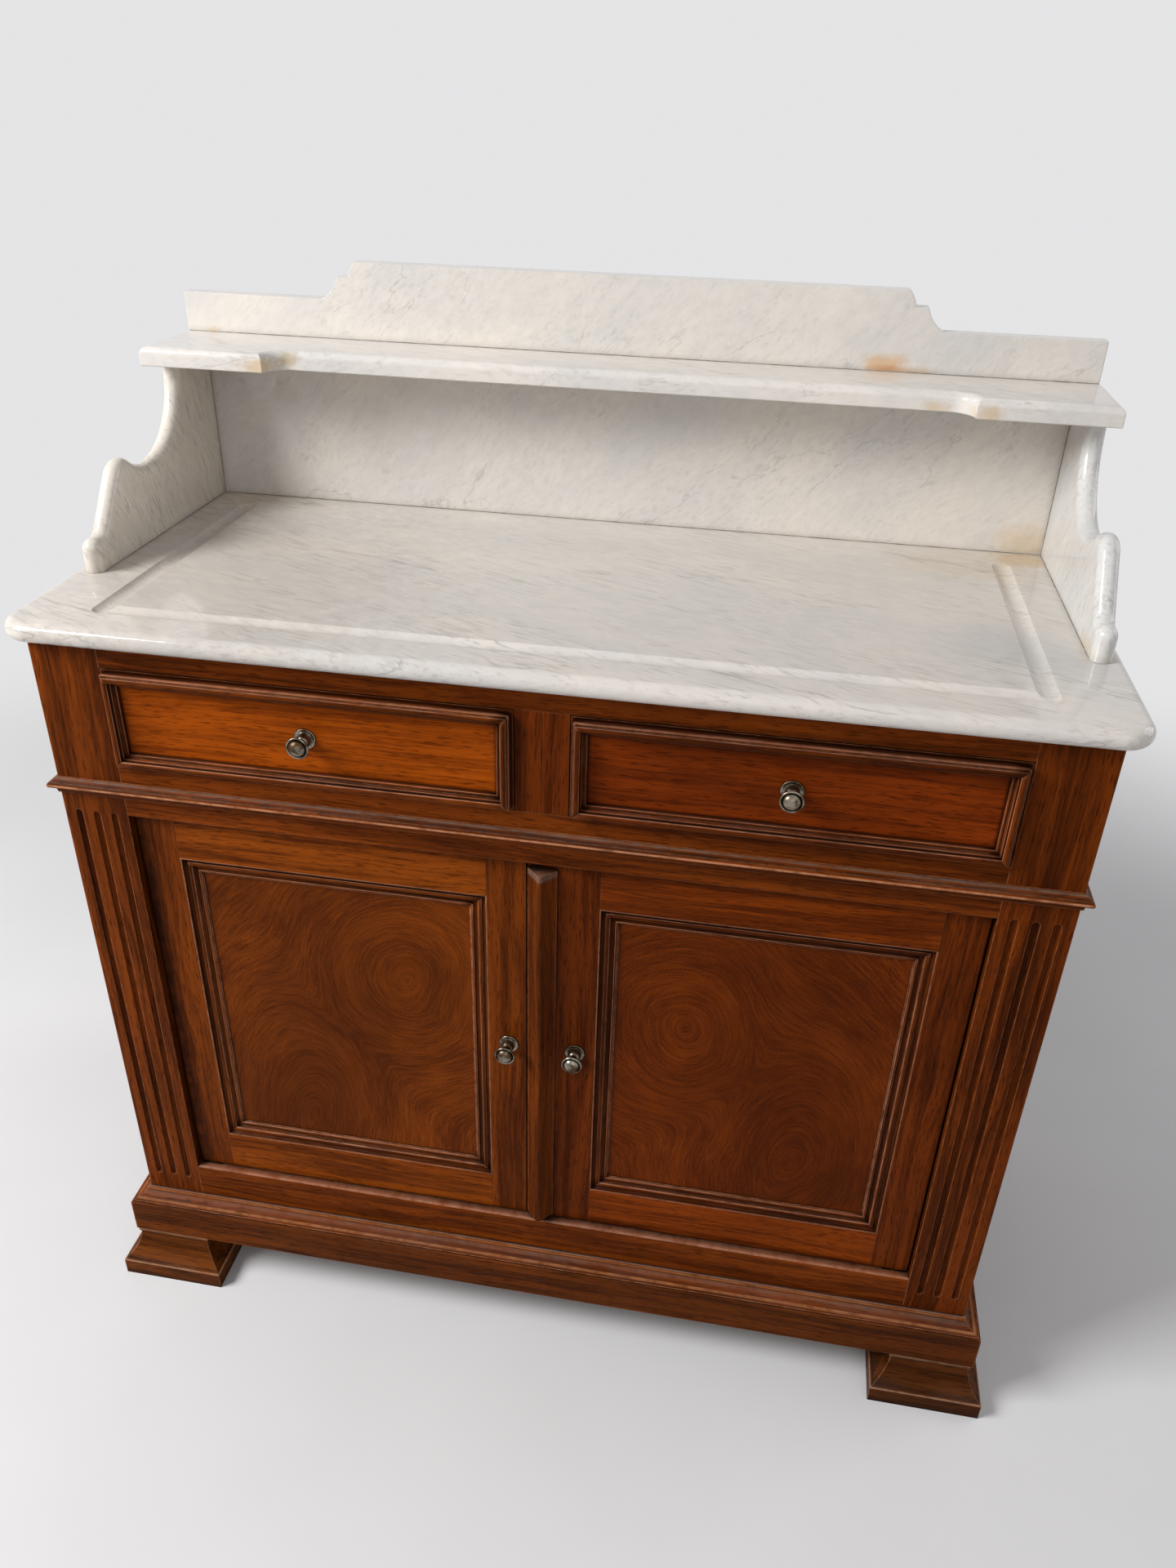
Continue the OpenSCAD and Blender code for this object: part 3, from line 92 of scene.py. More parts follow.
class Wiring:
    """Adds the nodes of one tree and links them."""

    def __init__(self, tree: bpy.types.NodeTree) -> None:
        """Starts on an emptied tree.

        Args:
            tree: The shader or geometry tree to fill.
        """
        self.tree = tree
        self.count = 0
        tree.nodes.clear()

    def add(self, kind: str, values: dict | None = None, **settings: Any) -> bpy.types.Node:
        """Adds a node.

        Args:
            kind: The node's type name.
            values: A value or an output socket for each input, by name or index.
            settings: The node's own properties.

        Returns:
            The new node.
        """
        node = self.tree.nodes.new(kind)
        node.location = (190 * (self.count % 10), -260 * (self.count // 10))
        self.count += 1
        for name, value in settings.items():
            setattr(node, name, value)
        for key, value in (values or {}).items():
            if isinstance(value, Socket):
                self.tree.links.new(value, node.inputs[key])
            else:
                node.inputs[key].default_value = value
        return node

    def first(self, kind: str, values: dict | None = None, **settings: Any) -> Socket:
        """Adds a node and returns its first output."""
        return self.add(kind, values, **settings).outputs[0]

    def math(self, kind: str, a: Any, b: Any = 0.0, c: Any = 0.0) -> Socket:
        """Returns the output of a Math node of that kind on a, b and c."""
        return self.first("ShaderNodeMath", {0: a, 1: b, 2: c}, operation=kind)

    def plus(self, a: Any, b: Any) -> Socket:
        """Returns a plus b."""
        return self.math("ADD", a, b)

    def minus(self, a: Any, b: Any) -> Socket:
        """Returns a minus b."""
        return self.math("SUBTRACT", a, b)

    def times(self, a: Any, b: Any) -> Socket:
        """Returns a times b."""
        return self.math("MULTIPLY", a, b)

    def most(self, a: Any, b: Any) -> Socket:
        """Returns the larger of a and b."""
        return self.math("MAXIMUM", a, b)

    def away(self, a: Any, b: Any) -> Socket:
        """Returns how far apart a and b are."""
        return self.math("ABSOLUTE", self.minus(a, b))

    def vector(self, kind: str, a: Any, b: Any = (0.0, 0.0, 0.0)) -> Socket:
        """Returns the vector output of a Vector Math node of that kind."""
        return self.first("ShaderNodeVectorMath", {0: a, 1: b}, operation=kind)

    def scaled(self, a: Any, b: Any) -> Socket:
        """Returns vector a with each part multiplied by that of b."""
        return self.vector("MULTIPLY", a, b)

    def dot(self, a: Any, b: Any) -> Socket:
        """Returns the dot product of two vectors."""
        return self.add("ShaderNodeVectorMath", {0: a, 1: b}, operation="DOT_PRODUCT").outputs["Value"]

    def length(self, a: Any) -> Socket:
        """Returns the length of a vector."""
        return self.add("ShaderNodeVectorMath", {0: a}, operation="LENGTH").outputs["Value"]

    def join(self, parts: dict[int, Any]) -> Socket:
        """Returns a vector of the given parts, by index, with 0 for the others."""
        return self.first("ShaderNodeCombineXYZ", parts)

    def split(self, a: Any) -> Any:
        """Returns the three parts of a vector."""
        return self.add("ShaderNodeSeparateXYZ", {0: a}).outputs

    def mix(self, factor: Any, a: Any, b: Any, kind: str = "MIX") -> Socket:
        """Returns colour a mixed with colour b by factor."""
        values = {0: factor, 6: opaque(a), 7: opaque(b)}
        return self.add("ShaderNodeMix", values, data_type="RGBA", blend_type=kind).outputs[2]

    def over(self, colour: Any, mask: Any, strength: float, tint: Colour, kind: str = "MIX") -> Socket:
        """Returns a colour with a tint laid over it where the mask is, at that strength."""
        return self.mix(self.times(mask, strength), colour, tint, kind)

    def span(self, value: Any, low: float, high: float, start: float = 0.0, end: float = 1.0) -> Socket:
        """Returns a value carried smoothly from low..high to start..end."""
        values = {0: value, 1: low, 2: high, 3: start, 4: end}
        return self.first("ShaderNodeMapRange", values, interpolation_type="SMOOTHSTEP")

    def noise(self, where: Any, scale: Any, detail: float = 2.0, rough: float = 0.5) -> Socket:
        """Returns the value of a noise at a place.

        Args:
            where: The place, a vector socket.
            scale: Repeats to the metre.
            detail: Octaves of the noise.
            rough: Strength of the finer octaves.

        Returns:
            The noise, from 0 to 1.
        """
        values = {"Vector": where, "Scale": scale, "Detail": detail, "Roughness": rough}
        return self.first("ShaderNodeTexNoise", values)

    def swayed(self, where: Any, scale: float, detail: float, rough: float, reach: Point) -> Socket:
        """Moves a place about by a slow noise.

        Args:
            where: The place, a vector socket.
            scale: Repeats to the metre.
            detail: Octaves of the noise.
            rough: Strength of the finer octaves.
            reach: How far the place moves along each axis.

        Returns:
            The moved place.
        """
        values = {"Vector": where, "Scale": scale, "Detail": detail, "Roughness": rough}
        slow = self.add("ShaderNodeTexNoise", values).outputs["Color"]
        return self.vector("ADD", where, self.scaled(self.vector("SUBTRACT", slow, (0.5, 0.5, 0.5)), reach))

    def bump(self, height: Any, strength: float, distance: float, under: Socket | None = None) -> Socket:
        """Returns a normal bent by a height.

        Args:
            height: The height, from 0 to 1.
            strength: How much of the bend is taken.
            distance: How far a height of 1 stands out.
            under: The normal to bend, or that of the mesh.

        Returns:
            The bent normal.
        """
        values = {"Strength": strength, "Distance": distance, "Height": height}
        if under is not None:
            values["Normal"] = under
        return self.first("ShaderNodeBump", values)

    def skin(self, colour: Any, rough: Any, normal: Any, plain: dict[str, float]) -> Socket:
        """Returns the surface shader with these looks and the values that are plain all over."""
        values = {"Base Color": colour, "Roughness": rough, "Normal": normal, **plain}
        return self.first("ShaderNodeBsdfPrincipled", values)

    def object_place(self) -> Socket:
        """Returns the Object coordinates."""
        return self.add("ShaderNodeTexCoord").outputs["Object"]

    def attribute(self, name: str, output: str) -> Socket:
        """Returns an output of a named attribute."""
        return self.add("ShaderNodeAttribute", attribute_name=name).outputs[output]


def opaque(colour: Any) -> Any:
    """Returns a colour with full alpha, or a socket as it is."""
    return colour if isinstance(colour, Socket) else (*colour, 1.0)


def toned(colour: Colour, share: float) -> Colour:
    """Returns a colour that is lighter or darker by a factor."""
    return tuple(share * part for part in colour)


def along_grain(wires: Wiring, place: Socket, grain: Grain) -> Socket:
    """Returns a place turned so that the fibres run along its first part."""
    parts = wires.split(place)
    return wires.join({i: parts["xyz".index(axis)] for i, axis in enumerate(grain.value)})


def seen_directly(wires: Wiring) -> Socket:
    """Returns 1 for rays from the camera, from mirrors and through glass, and 0 for light."""
    path = wires.add("ShaderNodeLightPath").outputs
    return wires.most(wires.most(path["Is Camera Ray"], path["Is Glossy Ray"]), path["Is Transmission Ray"])


class Effect(ABC):
    """A shader node group that several finishes share."""

    title: ClassVar[str]
    takes: ClassVar[dict[str, tuple[str, Any]]]
    gives: ClassVar[dict[str, str]]

    def tree(self) -> bpy.types.NodeTree:
        """Builds the group at its first use.

        Returns:
            The group's tree.
        """
        known = bpy.data.node_groups.get(self.title)
        if known:
            return known
        tree = bpy.data.node_groups.new(self.title, "ShaderNodeTree")
        wires = Wiring(tree)
        for name, (kind, value) in self.takes.items():
            socket = tree.interface.new_socket(name=name, in_out="INPUT", socket_type=kind)
            if value is not None:
                socket.default_value = value
        for name, kind in self.gives.items():
            tree.interface.new_socket(name=name, in_out="OUTPUT", socket_type=kind)
        given = wires.add("NodeGroupInput").outputs
        wires.add("NodeGroupOutput", self.build(wires, given))
        return tree

    @abstractmethod
    def build(self, wires: Wiring, given: Any) -> dict[str, Socket]:
        """Builds the inside of the group.

        Args:
            wires: The wiring of the group's tree.
            given: The outputs of the group's input node.

        Returns:
            The socket for each output, by name.
        """

    def place(self, wires: Wiring, values: dict[str, Any]) -> Any:
        """Puts the group in a tree with these inputs and returns its outputs."""
        return wires.add("ShaderNodeGroup", values, node_tree=self.tree()).outputs


class TimberGrain(Effect):
    """Figure, fibres and pores of wood whose fibres run along X of its vector."""

    title = "timber_grain"
    takes = {"Vector": (VECTOR, None), "Fineness": (FLOAT, 1.0)}
    gives = {"Figure": FLOAT, "Fibre": FLOAT, "Pore": FLOAT, "Height": FLOAT}
    # repeats along and across the fibres, octaves and roughness, from broad to fine
    layers = ((2.2, 58.0, 3.0, 0.6), (5.0, 200.0, 3.0, 0.62), (14.0, 400.0, 3.0, 0.62), (60.0, 720.0, 1.0, 0.5))

    def build(self, wires: Wiring, given: Any) -> dict[str, Socket]:
        """Builds the figure from stretched noises, each finer than the one before.

        Args:
            wires: The wiring of the group's tree.
            given: The outputs of the group's input node.

        Returns:
            The socket for each output, by name.
        """
        place = given["Vector"]
        drift = wires.minus(wires.noise(wires.scaled(place, (2.6, 7.0, 7.0)), 1.0), 0.5)
        bent = wires.vector("ADD", place, wires.join({1: wires.times(drift, 0.035), 2: wires.times(drift, 0.03)}))
        fine = wires.first("ShaderNodeVectorMath", {0: bent, "Scale": given["Fineness"]}, operation="SCALE")
        broad, bands, fibre, fleck = (wires.noise(wires.scaled(fine, (along, across, across)), 1.0, detail, rough)
                                      for along, across, detail, rough in self.layers)
        figure = wires.plus(wires.times(broad, 0.6), wires.times(bands, 0.4))
        pore = wires.span(fleck, 0.54, 0.7)
        return {"Figure": wires.span(figure, 0.36, 0.64), "Fibre": wires.span(fibre, 0.28, 0.72),
                "Pore": pore, "Height": wires.minus(wires.times(fibre, 0.5), pore)}


class WearAndPaintedLight(Effect):
    """Wear with a painted highlight on outer arrises, dirt with painted shade in recesses, and the normal of softened
    edges.
    """

    title = "wear_and_painted_light"
    takes = {"Vector": (VECTOR, None), "Rough": (FLOAT, 60.0), "Reach": (FLOAT, 1.6 * MM)}
    gives = {"WornAndHighlight": FLOAT, "GrimeAndShade": FLOAT, "Normal": VECTOR}

    def build(self, wires: Wiring, given: Any) -> dict[str, Socket]:
        """Builds both masks from the softened normal and the room round each point.

        Args:
            wires: The wiring of the group's tree.
            given: The outputs of the group's input node.

        Returns:
            The socket for each output, by name.
        """
        soft = wires.first("ShaderNodeBevel", {"Radius": given["Reach"]}, samples=6)
        plain = wires.add("ShaderNodeNewGeometry").outputs["Normal"]
        edge = wires.span(wires.dot(soft, plain), 0.997, 0.91)
        room = wires.add("ShaderNodeAmbientOcclusion", {"Distance": 13 * MM}, samples=8).outputs["AO"]
        broken = wires.noise(given["Vector"], given["Rough"], 4.0, 0.65)
        patchy = wires.span(broken, 0.34, 0.62, 0.3, 1.0)
        # outer arrises made paler: wear with a painted highlight
        worn_and_highlight = wires.times(wires.times(edge, wires.span(room, 0.5, 0.8)), patchy)
        # less room round a point darkens it: painted shade in recesses, with dirt
        grime_and_shade = wires.times(wires.span(room, 0.86, 0.42), wires.span(broken, 0.2, 0.75, 0.7, 1.0))
        return {"WornAndHighlight": worn_and_highlight, "GrimeAndShade": grime_and_shade, "Normal": soft}


class StoneFigure(Effect):
    """Clouds, mottle, dashes and hairlines of marble, drawn out along X of its vector."""

    title = "stone_figure"
    takes = {"Vector": (VECTOR, None), "Stretch": (FLOAT, 6.0)}
    gives = {"Cloud": FLOAT, "Mottle": FLOAT, "Dash": FLOAT, "Hairline": FLOAT}

    def build(self, wires: Wiring, given: Any) -> dict[str, Socket]:
        """Builds the four layers from noises bent by a slower one.

        Args:
            wires: The wiring of the group's tree.
            given: The outputs of the group's input node.

        Returns:
            The socket for each output, by name.
        """
        bent = wires.swayed(given["Vector"], 5.0, 2.0, 0.5, (0.05, 0.05, 0.05))
        drawn = wires.scaled(bent, wires.join({0: wires.math("DIVIDE", 1.0, given["Stretch"]), 1: 1.0, 2: 1.0}))
        halved = wires.scaled(bent, (0.5, 1.0, 1.0))
        cloud = wires.noise(halved, 8.0, 4.0, 0.6)
        mottle = wires.noise(halved, 105.0, 5.0, 0.68)
        patch = wires.noise(wires.scaled(bent, (0.4, 1.0, 1.0)), 15.0, 4.0, 0.6)
        dash = wires.span(wires.noise(drawn, 250.0, 3.0, 0.6), 0.5, 0.68)
        ridge = wires.away(wires.noise(drawn, 13.0, 5.0, 0.55), 0.5)
        return {"Cloud": wires.span(cloud, 0.3, 0.7), "Mottle": wires.span(mottle, 0.32, 0.68),
                "Dash": wires.times(dash, wires.span(patch, 0.36, 0.62, 0.25, 1.0)),
                "Hairline": wires.times(wires.span(ridge, 0.01, 0.0), wires.span(patch, 0.46, 0.62))}


class StainPatch(Effect):
    """A soft-edged blotch round one point."""

    title = "stain_patch"
    takes = {"Vector": (VECTOR, None), "Centre": (VECTOR, (0.0, 0.0, 0.0)), "Reach": (VECTOR, (0.03, 0.03, 0.03))}
    gives = {"Mask": FLOAT}

    def build(self, wires: Wiring, given: Any) -> dict[str, Socket]:
        """Builds the blotch from the scaled distance with a ragged edge.

        Args:
            wires: The wiring of the group's tree.
            given: The outputs of the group's input node.

        Returns:
            The socket for the mask, by name.
        """
        away = wires.vector("DIVIDE", wires.vector("SUBTRACT", given["Vector"], given["Centre"]), given["Reach"])
        ragged = wires.minus(wires.noise(given["Vector"], 70.0, 4.0, 0.6), 0.5)
        return {"Mask": wires.span(wires.plus(wires.length(away), wires.times(ragged, 1.1)), 1.0, 0.25)}


@dataclass(frozen=True)
class Finish(ABC):
    """A named finish that makes one material."""

    name: str

    def material(self) -> bpy.types.Material:
        """Makes the finish's material at its first use.

        Returns:
            The material.
        """
        known = bpy.data.materials.get(self.name)
        if known:
            return known
        material = bpy.data.materials.new(self.name)
        material.use_nodes = True
        wires = Wiring(material.node_tree)
        wires.add("ShaderNodeOutputMaterial", {"Surface": self.shade(wires)})
        return material

    @abstractmethod
    def shade(self, wires: Wiring) -> Socket:
        """Wires the material.

        Args:
            wires: The wiring of the material's tree.

        Returns:
            The shader socket for the surface.
        """


@dataclass(frozen=True)
class Stain:
    """A blotch on a marble plate."""

    centre: Point
    reach: Point
    colour: Colour
    strength: float


@dataclass(frozen=True)
class Marble(Finish):
    """Polished white marble with grey flecks, cut in one direction of the block."""

    run: Point = (1.0, 0.0, 0.0)
    shift: Point = (0.0, 0.0, 0.0)
    stretch: float = 6.0
    flecks: float = 0.3
    veins: float = 0.3
    mottle: float = 0.11
    warm: Colour = (0.785, 0.725, 0.655)
    cool: Colour = (0.67, 0.645, 0.61)
    fleck: Colour = (0.27, 0.25, 0.225)
    # brown laid in the joints and recesses: dirt with painted shade
    dirt: Colour = (0.30, 0.25, 0.19)
    stains_and_shade: tuple[Stain, ...] = ()

    def shade(self, wires: Wiring) -> Socket:
        """Wires clouds, mottle and flecks, then the stain patches, some of them painted shade, under a polished
        surface.

        Args:
            wires: The wiring of the material's tree.

        Returns:
            The shader socket for the surface.
        """
        place = wires.object_place()
        stone = StoneFigure().place(wires, {"Vector": self.cut(wires, place), "Stretch": self.stretch})
        colour = wires.mix(stone["Cloud"], self.warm, self.cool)
        for layer, strength in (("Mottle", self.mottle), ("Dash", self.flecks), ("Hairline", self.veins)):
            colour = wires.over(colour, stone[layer], strength, self.fleck)
        for stain in self.stains_and_shade:
            patch = StainPatch().place(wires, {"Vector": place, "Centre": stain.centre, "Reach": stain.reach})
            colour = wires.over(colour, patch["Mask"], stain.strength, stain.colour, "MULTIPLY")
        wear = WearAndPaintedLight().place(wires, {"Vector": place, "Rough": 80.0})
        # darker in the joints and under the shelf: painted shade, with dirt
        colour = wires.over(colour, wear["GrimeAndShade"], 0.35, self.dirt)
        rough = wires.span(wires.noise(place, 14.0), 0.3, 0.7, 0.05, 0.11)
        wave = wires.bump(wires.noise(place, 30.0), 0.04, 0.6 * MM, wear["Normal"])
        return wires.skin(colour, rough, wave, {"Specular IOR Level": 0.5, "IOR": 1.5})

    def cut(self, wires: Wiring, place: Socket) -> Socket:
        """Turns a place into the axes of the block.

        Args:
            wires: The wiring of the material's tree.
            place: The place on the plate.

        Returns:
            The place in the block, the veins running along its first part.
        """
        along = Vector(self.run).normalized()
        side = along.orthogonal().normalized()
        moved = wires.vector("ADD", place, self.shift)
        return wires.join({i: wires.dot(moved, tuple(axis)) for i, axis in enumerate((along, side, along.cross(side)))})


@dataclass(frozen=True)
class Course:
    """A straight line of colour at one level of an axis: dirt or wear on some pieces, painted shade, shadow or sheen on
    others.
    """

    level: float
    half: float
    colour: Colour
    strength: float
    axis: int = 2

    def mask(self, wires: Wiring, place: Socket) -> Socket:
        """Draws the line with a broken edge.

        Args:
            wires: The wiring of the material's tree.
            place: The place on the piece.

        Returns:
            The mask of the line.
        """
        away = wires.away(wires.split(place)[self.axis], self.level)
        waver = wires.span(wires.noise(place, 60.0, 4.0, 0.65), 0.3, 0.62, 0.35, 1.0)
        return wires.times(wires.span(away, self.half, 0.35 * self.half), waver)


@dataclass(frozen=True)
class PolishedWood(Finish):
    """Reddish brown wood with a thin polish, arrises made paler by wear and a painted highlight, and recesses darker by
    dirt and painted shade.
    """

    dark: Colour
    light: Colour
    grain: Grain = Grain.ACROSS
    shift: Point = (0.0, 0.0, 0.0)
    # strength of the paler arrises: wear with a painted highlight
    wear: float = 0.75
    worn_and_highlight: Colour = (0.42, 0.165, 0.07)
    fineness: float = 1.0
    contrast: float = 1.0
    patina: float = 0.3
    # strength of the painted shade and dirt in recesses
    grime_and_shade_strength: float = 0.9
    shaped: bool = False
    courses: tuple[Course, ...] = ()
    # the wood outside this rectangle is darkened: painted shade round a drawer's moulding
    window: tuple[float, float, float, float] | None = None

    def shade(self, wires: Wiring) -> Socket:
        """Wires the grain, its courses, dust with a painted sheen, dirt with painted shade, wear with a painted
        highlight, and the polish over all of them.

        Args:
            wires: The wiring of the material's tree.

        Returns:
            The shader socket for the surface.
        """
        place = wires.object_place()
        source = wires.attribute("course", "Vector") if self.shaped else place
        turned = along_grain(wires, wires.vector("ADD", source, self.shift), self.grain)
        timber = TimberGrain().place(wires, {"Vector": turned, "Fineness": self.fineness})
        colour = self.lined(wires, place, self.figured(wires, place, timber))
        edges = WearAndPaintedLight().place(wires, {"Vector": place, "Rough": 90.0})
        rubbed, grime_and_shade = self.handled(wires, place, edges)
        # paler on what faces up: a little dust with a painted sheen
        colour = wires.mix(self.dust_and_sheen(wires, place), colour, DUST_AND_SHEEN)
        # darker in recesses: painted shade, with dirt
        colour = wires.over(colour, grime_and_shade, self.grime_and_shade_strength, SOOT_AND_SHADE)
        # arrises and crests made paler: wear with a painted highlight
        colour = wires.over(colour, rubbed, self.wear, self.worn_and_highlight)
        rough = wires.plus(wires.span(wires.noise(place, 30.0, 4.0, 0.6), 0.3, 0.7, 0.34, 0.5),
                           wires.times(timber["Pore"], 0.15))
        fibres = wires.bump(timber["Height"], 0.22, 0.35 * MM, edges["Normal"])
        dents = wires.bump(wires.noise(place, 26.0, 3.0), 0.12, 1.2 * MM, fibres)
        return wires.skin(colour, rough, dents, THIN_POLISH)

    def figured(self, wires: Wiring, place: Socket, timber: Any) -> Socket:
        """Colours the grain and lays the patina of age over it.

        Args:
            wires: The wiring of the material's tree.
            place: The place on the piece.
            timber: The outputs of the grain's group.

        Returns:
            The colour.
        """
        half = 0.5 * self.contrast
        streak = wires.span(timber["Figure"], 0.0, 1.0, 0.5 - half, 0.5 + half)
        colour = wires.mix(streak, toned(self.dark, 0.78), toned(self.light, 1.14))
        colour = wires.over(colour, timber["Fibre"], 0.4, toned(self.light, 1.25))
        colour = wires.over(colour, timber["Pore"], 0.6, toned(self.dark, 0.35))
        patina = wires.span(wires.noise(place, 6.5, 4.0, 0.6), 0.3, 0.7)
        return wires.over(colour, patina, self.patina, toned(self.dark, 0.55))

    def lined(self, wires: Wiring, place: Socket, colour: Socket) -> Socket:
        """Lays the courses over a colour, and darkens it outside the window as a painted shade.

        Args:
            wires: The wiring of the material's tree.
            place: The place on the piece.
            colour: The colour so far.

        Returns:
            The colour with them.
        """
        for course in self.courses:
            colour = wires.over(colour, course.mask(wires, place), course.strength, course.colour)
        if self.window:
            colour = wires.mix(self.outside(wires, place), colour, toned(self.dark, 0.4))
        return colour

    def outside(self, wires: Wiring, place: Socket) -> Socket:
        """Finds what lies round the window, a rectangle in (across, height).

        Args:
            wires: The wiring of the material's tree.
            place: The place on the piece.

        Returns:
            1 round the window and 0 in it.
        """
        left, right, low, high = self.window
        parts = wires.split(place)
        across = wires.minus(wires.away(parts[0], (left + right) / 2), (right - left) / 2)
        upward = wires.minus(wires.away(parts[2], (low + high) / 2), (high - low) / 2)
        return wires.span(wires.most(across, upward), -4 * MM, 1 * MM)

    def handled(self, wires: Wiring, place: Socket, edges: Any) -> tuple[Socket, Socket]:
        """Finds the paler places, wear with a painted highlight, and the darker places, dirt with painted shade.

        Args:
            wires: The wiring of the material's tree.
            place: The place on the piece.
            edges: The outputs of the wear's group.

        Returns:
            The masks of both, with the crests of a moulding among the paler places and its quirks, painted shade, among
            the darker ones.
        """
        if not self.shaped:
            return edges["WornAndHighlight"], edges["GrimeAndShade"]
        broken = wires.span(wires.noise(place, 55.0, 4.0, 0.65), 0.32, 0.64, 0.4, 1.0)
        # crests of the beads made paler: wear with a painted highlight
        crest = wires.times(wires.span(wires.attribute("crest", "Fac"), 0.35, 1.0), broken)
        # quirks of the moulding darkened: painted shade
        quirk = wires.span(wires.attribute("quirk", "Fac"), 0.1, 0.8)
        return wires.most(edges["WornAndHighlight"], wires.times(crest, 0.9)), wires.most(edges["GrimeAndShade"], quirk)

    def dust_and_sheen(self, wires: Wiring, place: Socket) -> Socket:
        """Returns the mask of a little dust and a painted sheen on what faces up."""
        up = wires.split(wires.add("ShaderNodeNewGeometry").outputs["Normal"])[2]
        return wires.times(wires.span(up, 0.35, 0.95), wires.span(wires.noise(place, 16.0, 3.0), 0.3, 0.7, 0.0, 0.05))


@dataclass(frozen=True)
class Swirl:
    """A centre of rings in figured veneer, in (across, height)."""

    at: tuple[float, float]
    squeeze: tuple[float, float]
    gloom: float = 0.0


@dataclass(frozen=True)
class FiguredVeneer(Finish):
    """Veneer with rings that swirl round a few centres."""

    dark: Colour
    light: Colour
    swirls: tuple[Swirl, ...]
    rings: float = 34.0
    grime_and_shade: Colour = (0.012, 0.006, 0.004)

    def shade(self, wires: Wiring) -> Socket:
        """Wires rings, fibres and pores that follow the swirls, under a thin polish.

        Args:
            wires: The wiring of the material's tree.

        Returns:
            The shader socket for the surface.
        """
        place = wires.object_place()
        parts = wires.split(place)
        flat = wires.join({0: parts[0], 1: parts[2]})
        bent = wires.swayed(flat, 4.0, 3.0, 0.4, (0.085, 0.085, 0.0))
        reach, gloom = self.swirled(wires, bent)
        band = self.drawn(wires, bent, reach, self.rings, 6.0)
        fibre = self.drawn(wires, bent, reach, 18.0 * self.rings, 34.0)
        pore = wires.span(self.drawn(wires, bent, reach, 22.0 * self.rings, 160.0), 0.6, 0.74)
        tone = wires.plus(wires.times(band, 0.32), wires.times(fibre, 0.44))
        tone = wires.plus(tone, wires.times(wires.noise(flat, 480.0, 2.0, 0.6), 0.24))
        colour = wires.mix(wires.span(tone, 0.36, 0.64), self.dark, self.light)
        cloud = wires.span(wires.noise(flat, 5.5, 4.0, 0.6), 0.32, 0.7)
        colour = wires.over(colour, cloud, 0.45, toned(self.dark, 0.6))
        colour = wires.mix(gloom, colour, toned(self.dark, 0.5))
        colour = wires.over(colour, pore, 0.5, toned(self.dark, 0.4))
        edges = WearAndPaintedLight().place(wires, {"Vector": place, "Rough": 90.0})
        # darker in recesses: painted shade, with dirt
        colour = wires.over(colour, edges["GrimeAndShade"], 0.8, self.grime_and_shade)
        rough = wires.span(wires.noise(flat, 18.0, 4.0, 0.6), 0.3, 0.7, 0.36, 0.5)
        return wires.skin(colour, rough, wires.bump(fibre, 0.1, 0.3 * MM), THIN_POLISH)

    def swirled(self, wires: Wiring, bent: Socket) -> tuple[Socket, Socket]:
        """Finds the smooth least distance to the centres of the swirls.

        Args:
            wires: The wiring of the material's tree.
            bent: The place on the sheet.

        Returns:
            The distance, and how dark the sheet is near the centres.
        """
        reaches, glooms = [], []
        for swirl in self.swirls:
            away = wires.vector("SUBTRACT", bent, (*swirl.at, 0.0))
            reaches.append(wires.length(wires.scaled(away, (*swirl.squeeze, 1.0))))
            glooms.append(wires.times(wires.span(reaches[-1], 0.17, 0.02), swirl.gloom))
        reach, gloom = reaches[0], glooms[0]
        for distance, near in zip(reaches[1:], glooms[1:]):
            reach = wires.math("SMOOTH_MIN", reach, distance, 0.05)
            gloom = wires.most(gloom, near)
        return reach, gloom

    def drawn(self, wires: Wiring, bent: Socket, reach: Socket, across: float, along: float) -> Socket:
        """Draws a noise out along the rings.

        Args:
            wires: The wiring of the material's tree.
            bent: The place on the sheet.
            reach: The distance to the nearest centre.
            across: Repeats to the metre across the rings.
            along: Repeats to the metre along them.

        Returns:
            The noise, from 0 to 1.
        """
        out = wires.join({2: wires.times(reach, across)})
        return wires.noise(wires.vector("ADD", wires.scaled(bent, (along, along, 0.0)), out), 1.0, 3.0, 0.6)


@dataclass(frozen=True)
class PlainWood(Finish):
    """Bare wood of the inside and the back, gone brown with age."""

    grain: Grain = Grain.ACROSS
    dark: Colour = (0.2, 0.105, 0.045)
    light: Colour = (0.36, 0.21, 0.1)
    grime_and_shade: Colour = (0.05, 0.03, 0.018)
    worn_and_highlight: Colour = (0.5, 0.34, 0.19)

    def shade(self, wires: Wiring) -> Socket:
        """Wires a dull grain with dirt and painted shade in the corners, and edges made paler by wear and a painted
        highlight.

        Args:
            wires: The wiring of the material's tree.

        Returns:
            The shader socket for the surface.
        """
        place = wires.object_place()
        timber = TimberGrain().place(wires, {"Vector": along_grain(wires, place, self.grain), "Fineness": 0.8})
        colour = wires.mix(timber["Figure"], self.dark, self.light)
        colour = wires.over(colour, timber["Pore"], 0.3, self.dark)
        edges = WearAndPaintedLight().place(wires, {"Vector": place, "Rough": 70.0})
        # darker in the corners: painted shade, with dirt
        colour = wires.over(colour, edges["GrimeAndShade"], 0.6, self.grime_and_shade)
        colour = wires.over(colour, edges["WornAndHighlight"], 0.4, self.worn_and_highlight)
        fibres = wires.bump(timber["Height"], 0.35, 0.5 * MM, edges["Normal"])
        rough = wires.span(timber["Fibre"], 0.0, 1.0, 0.68, 0.86)
        return wires.skin(colour, rough, fibres, {"Specular IOR Level": 0.3})


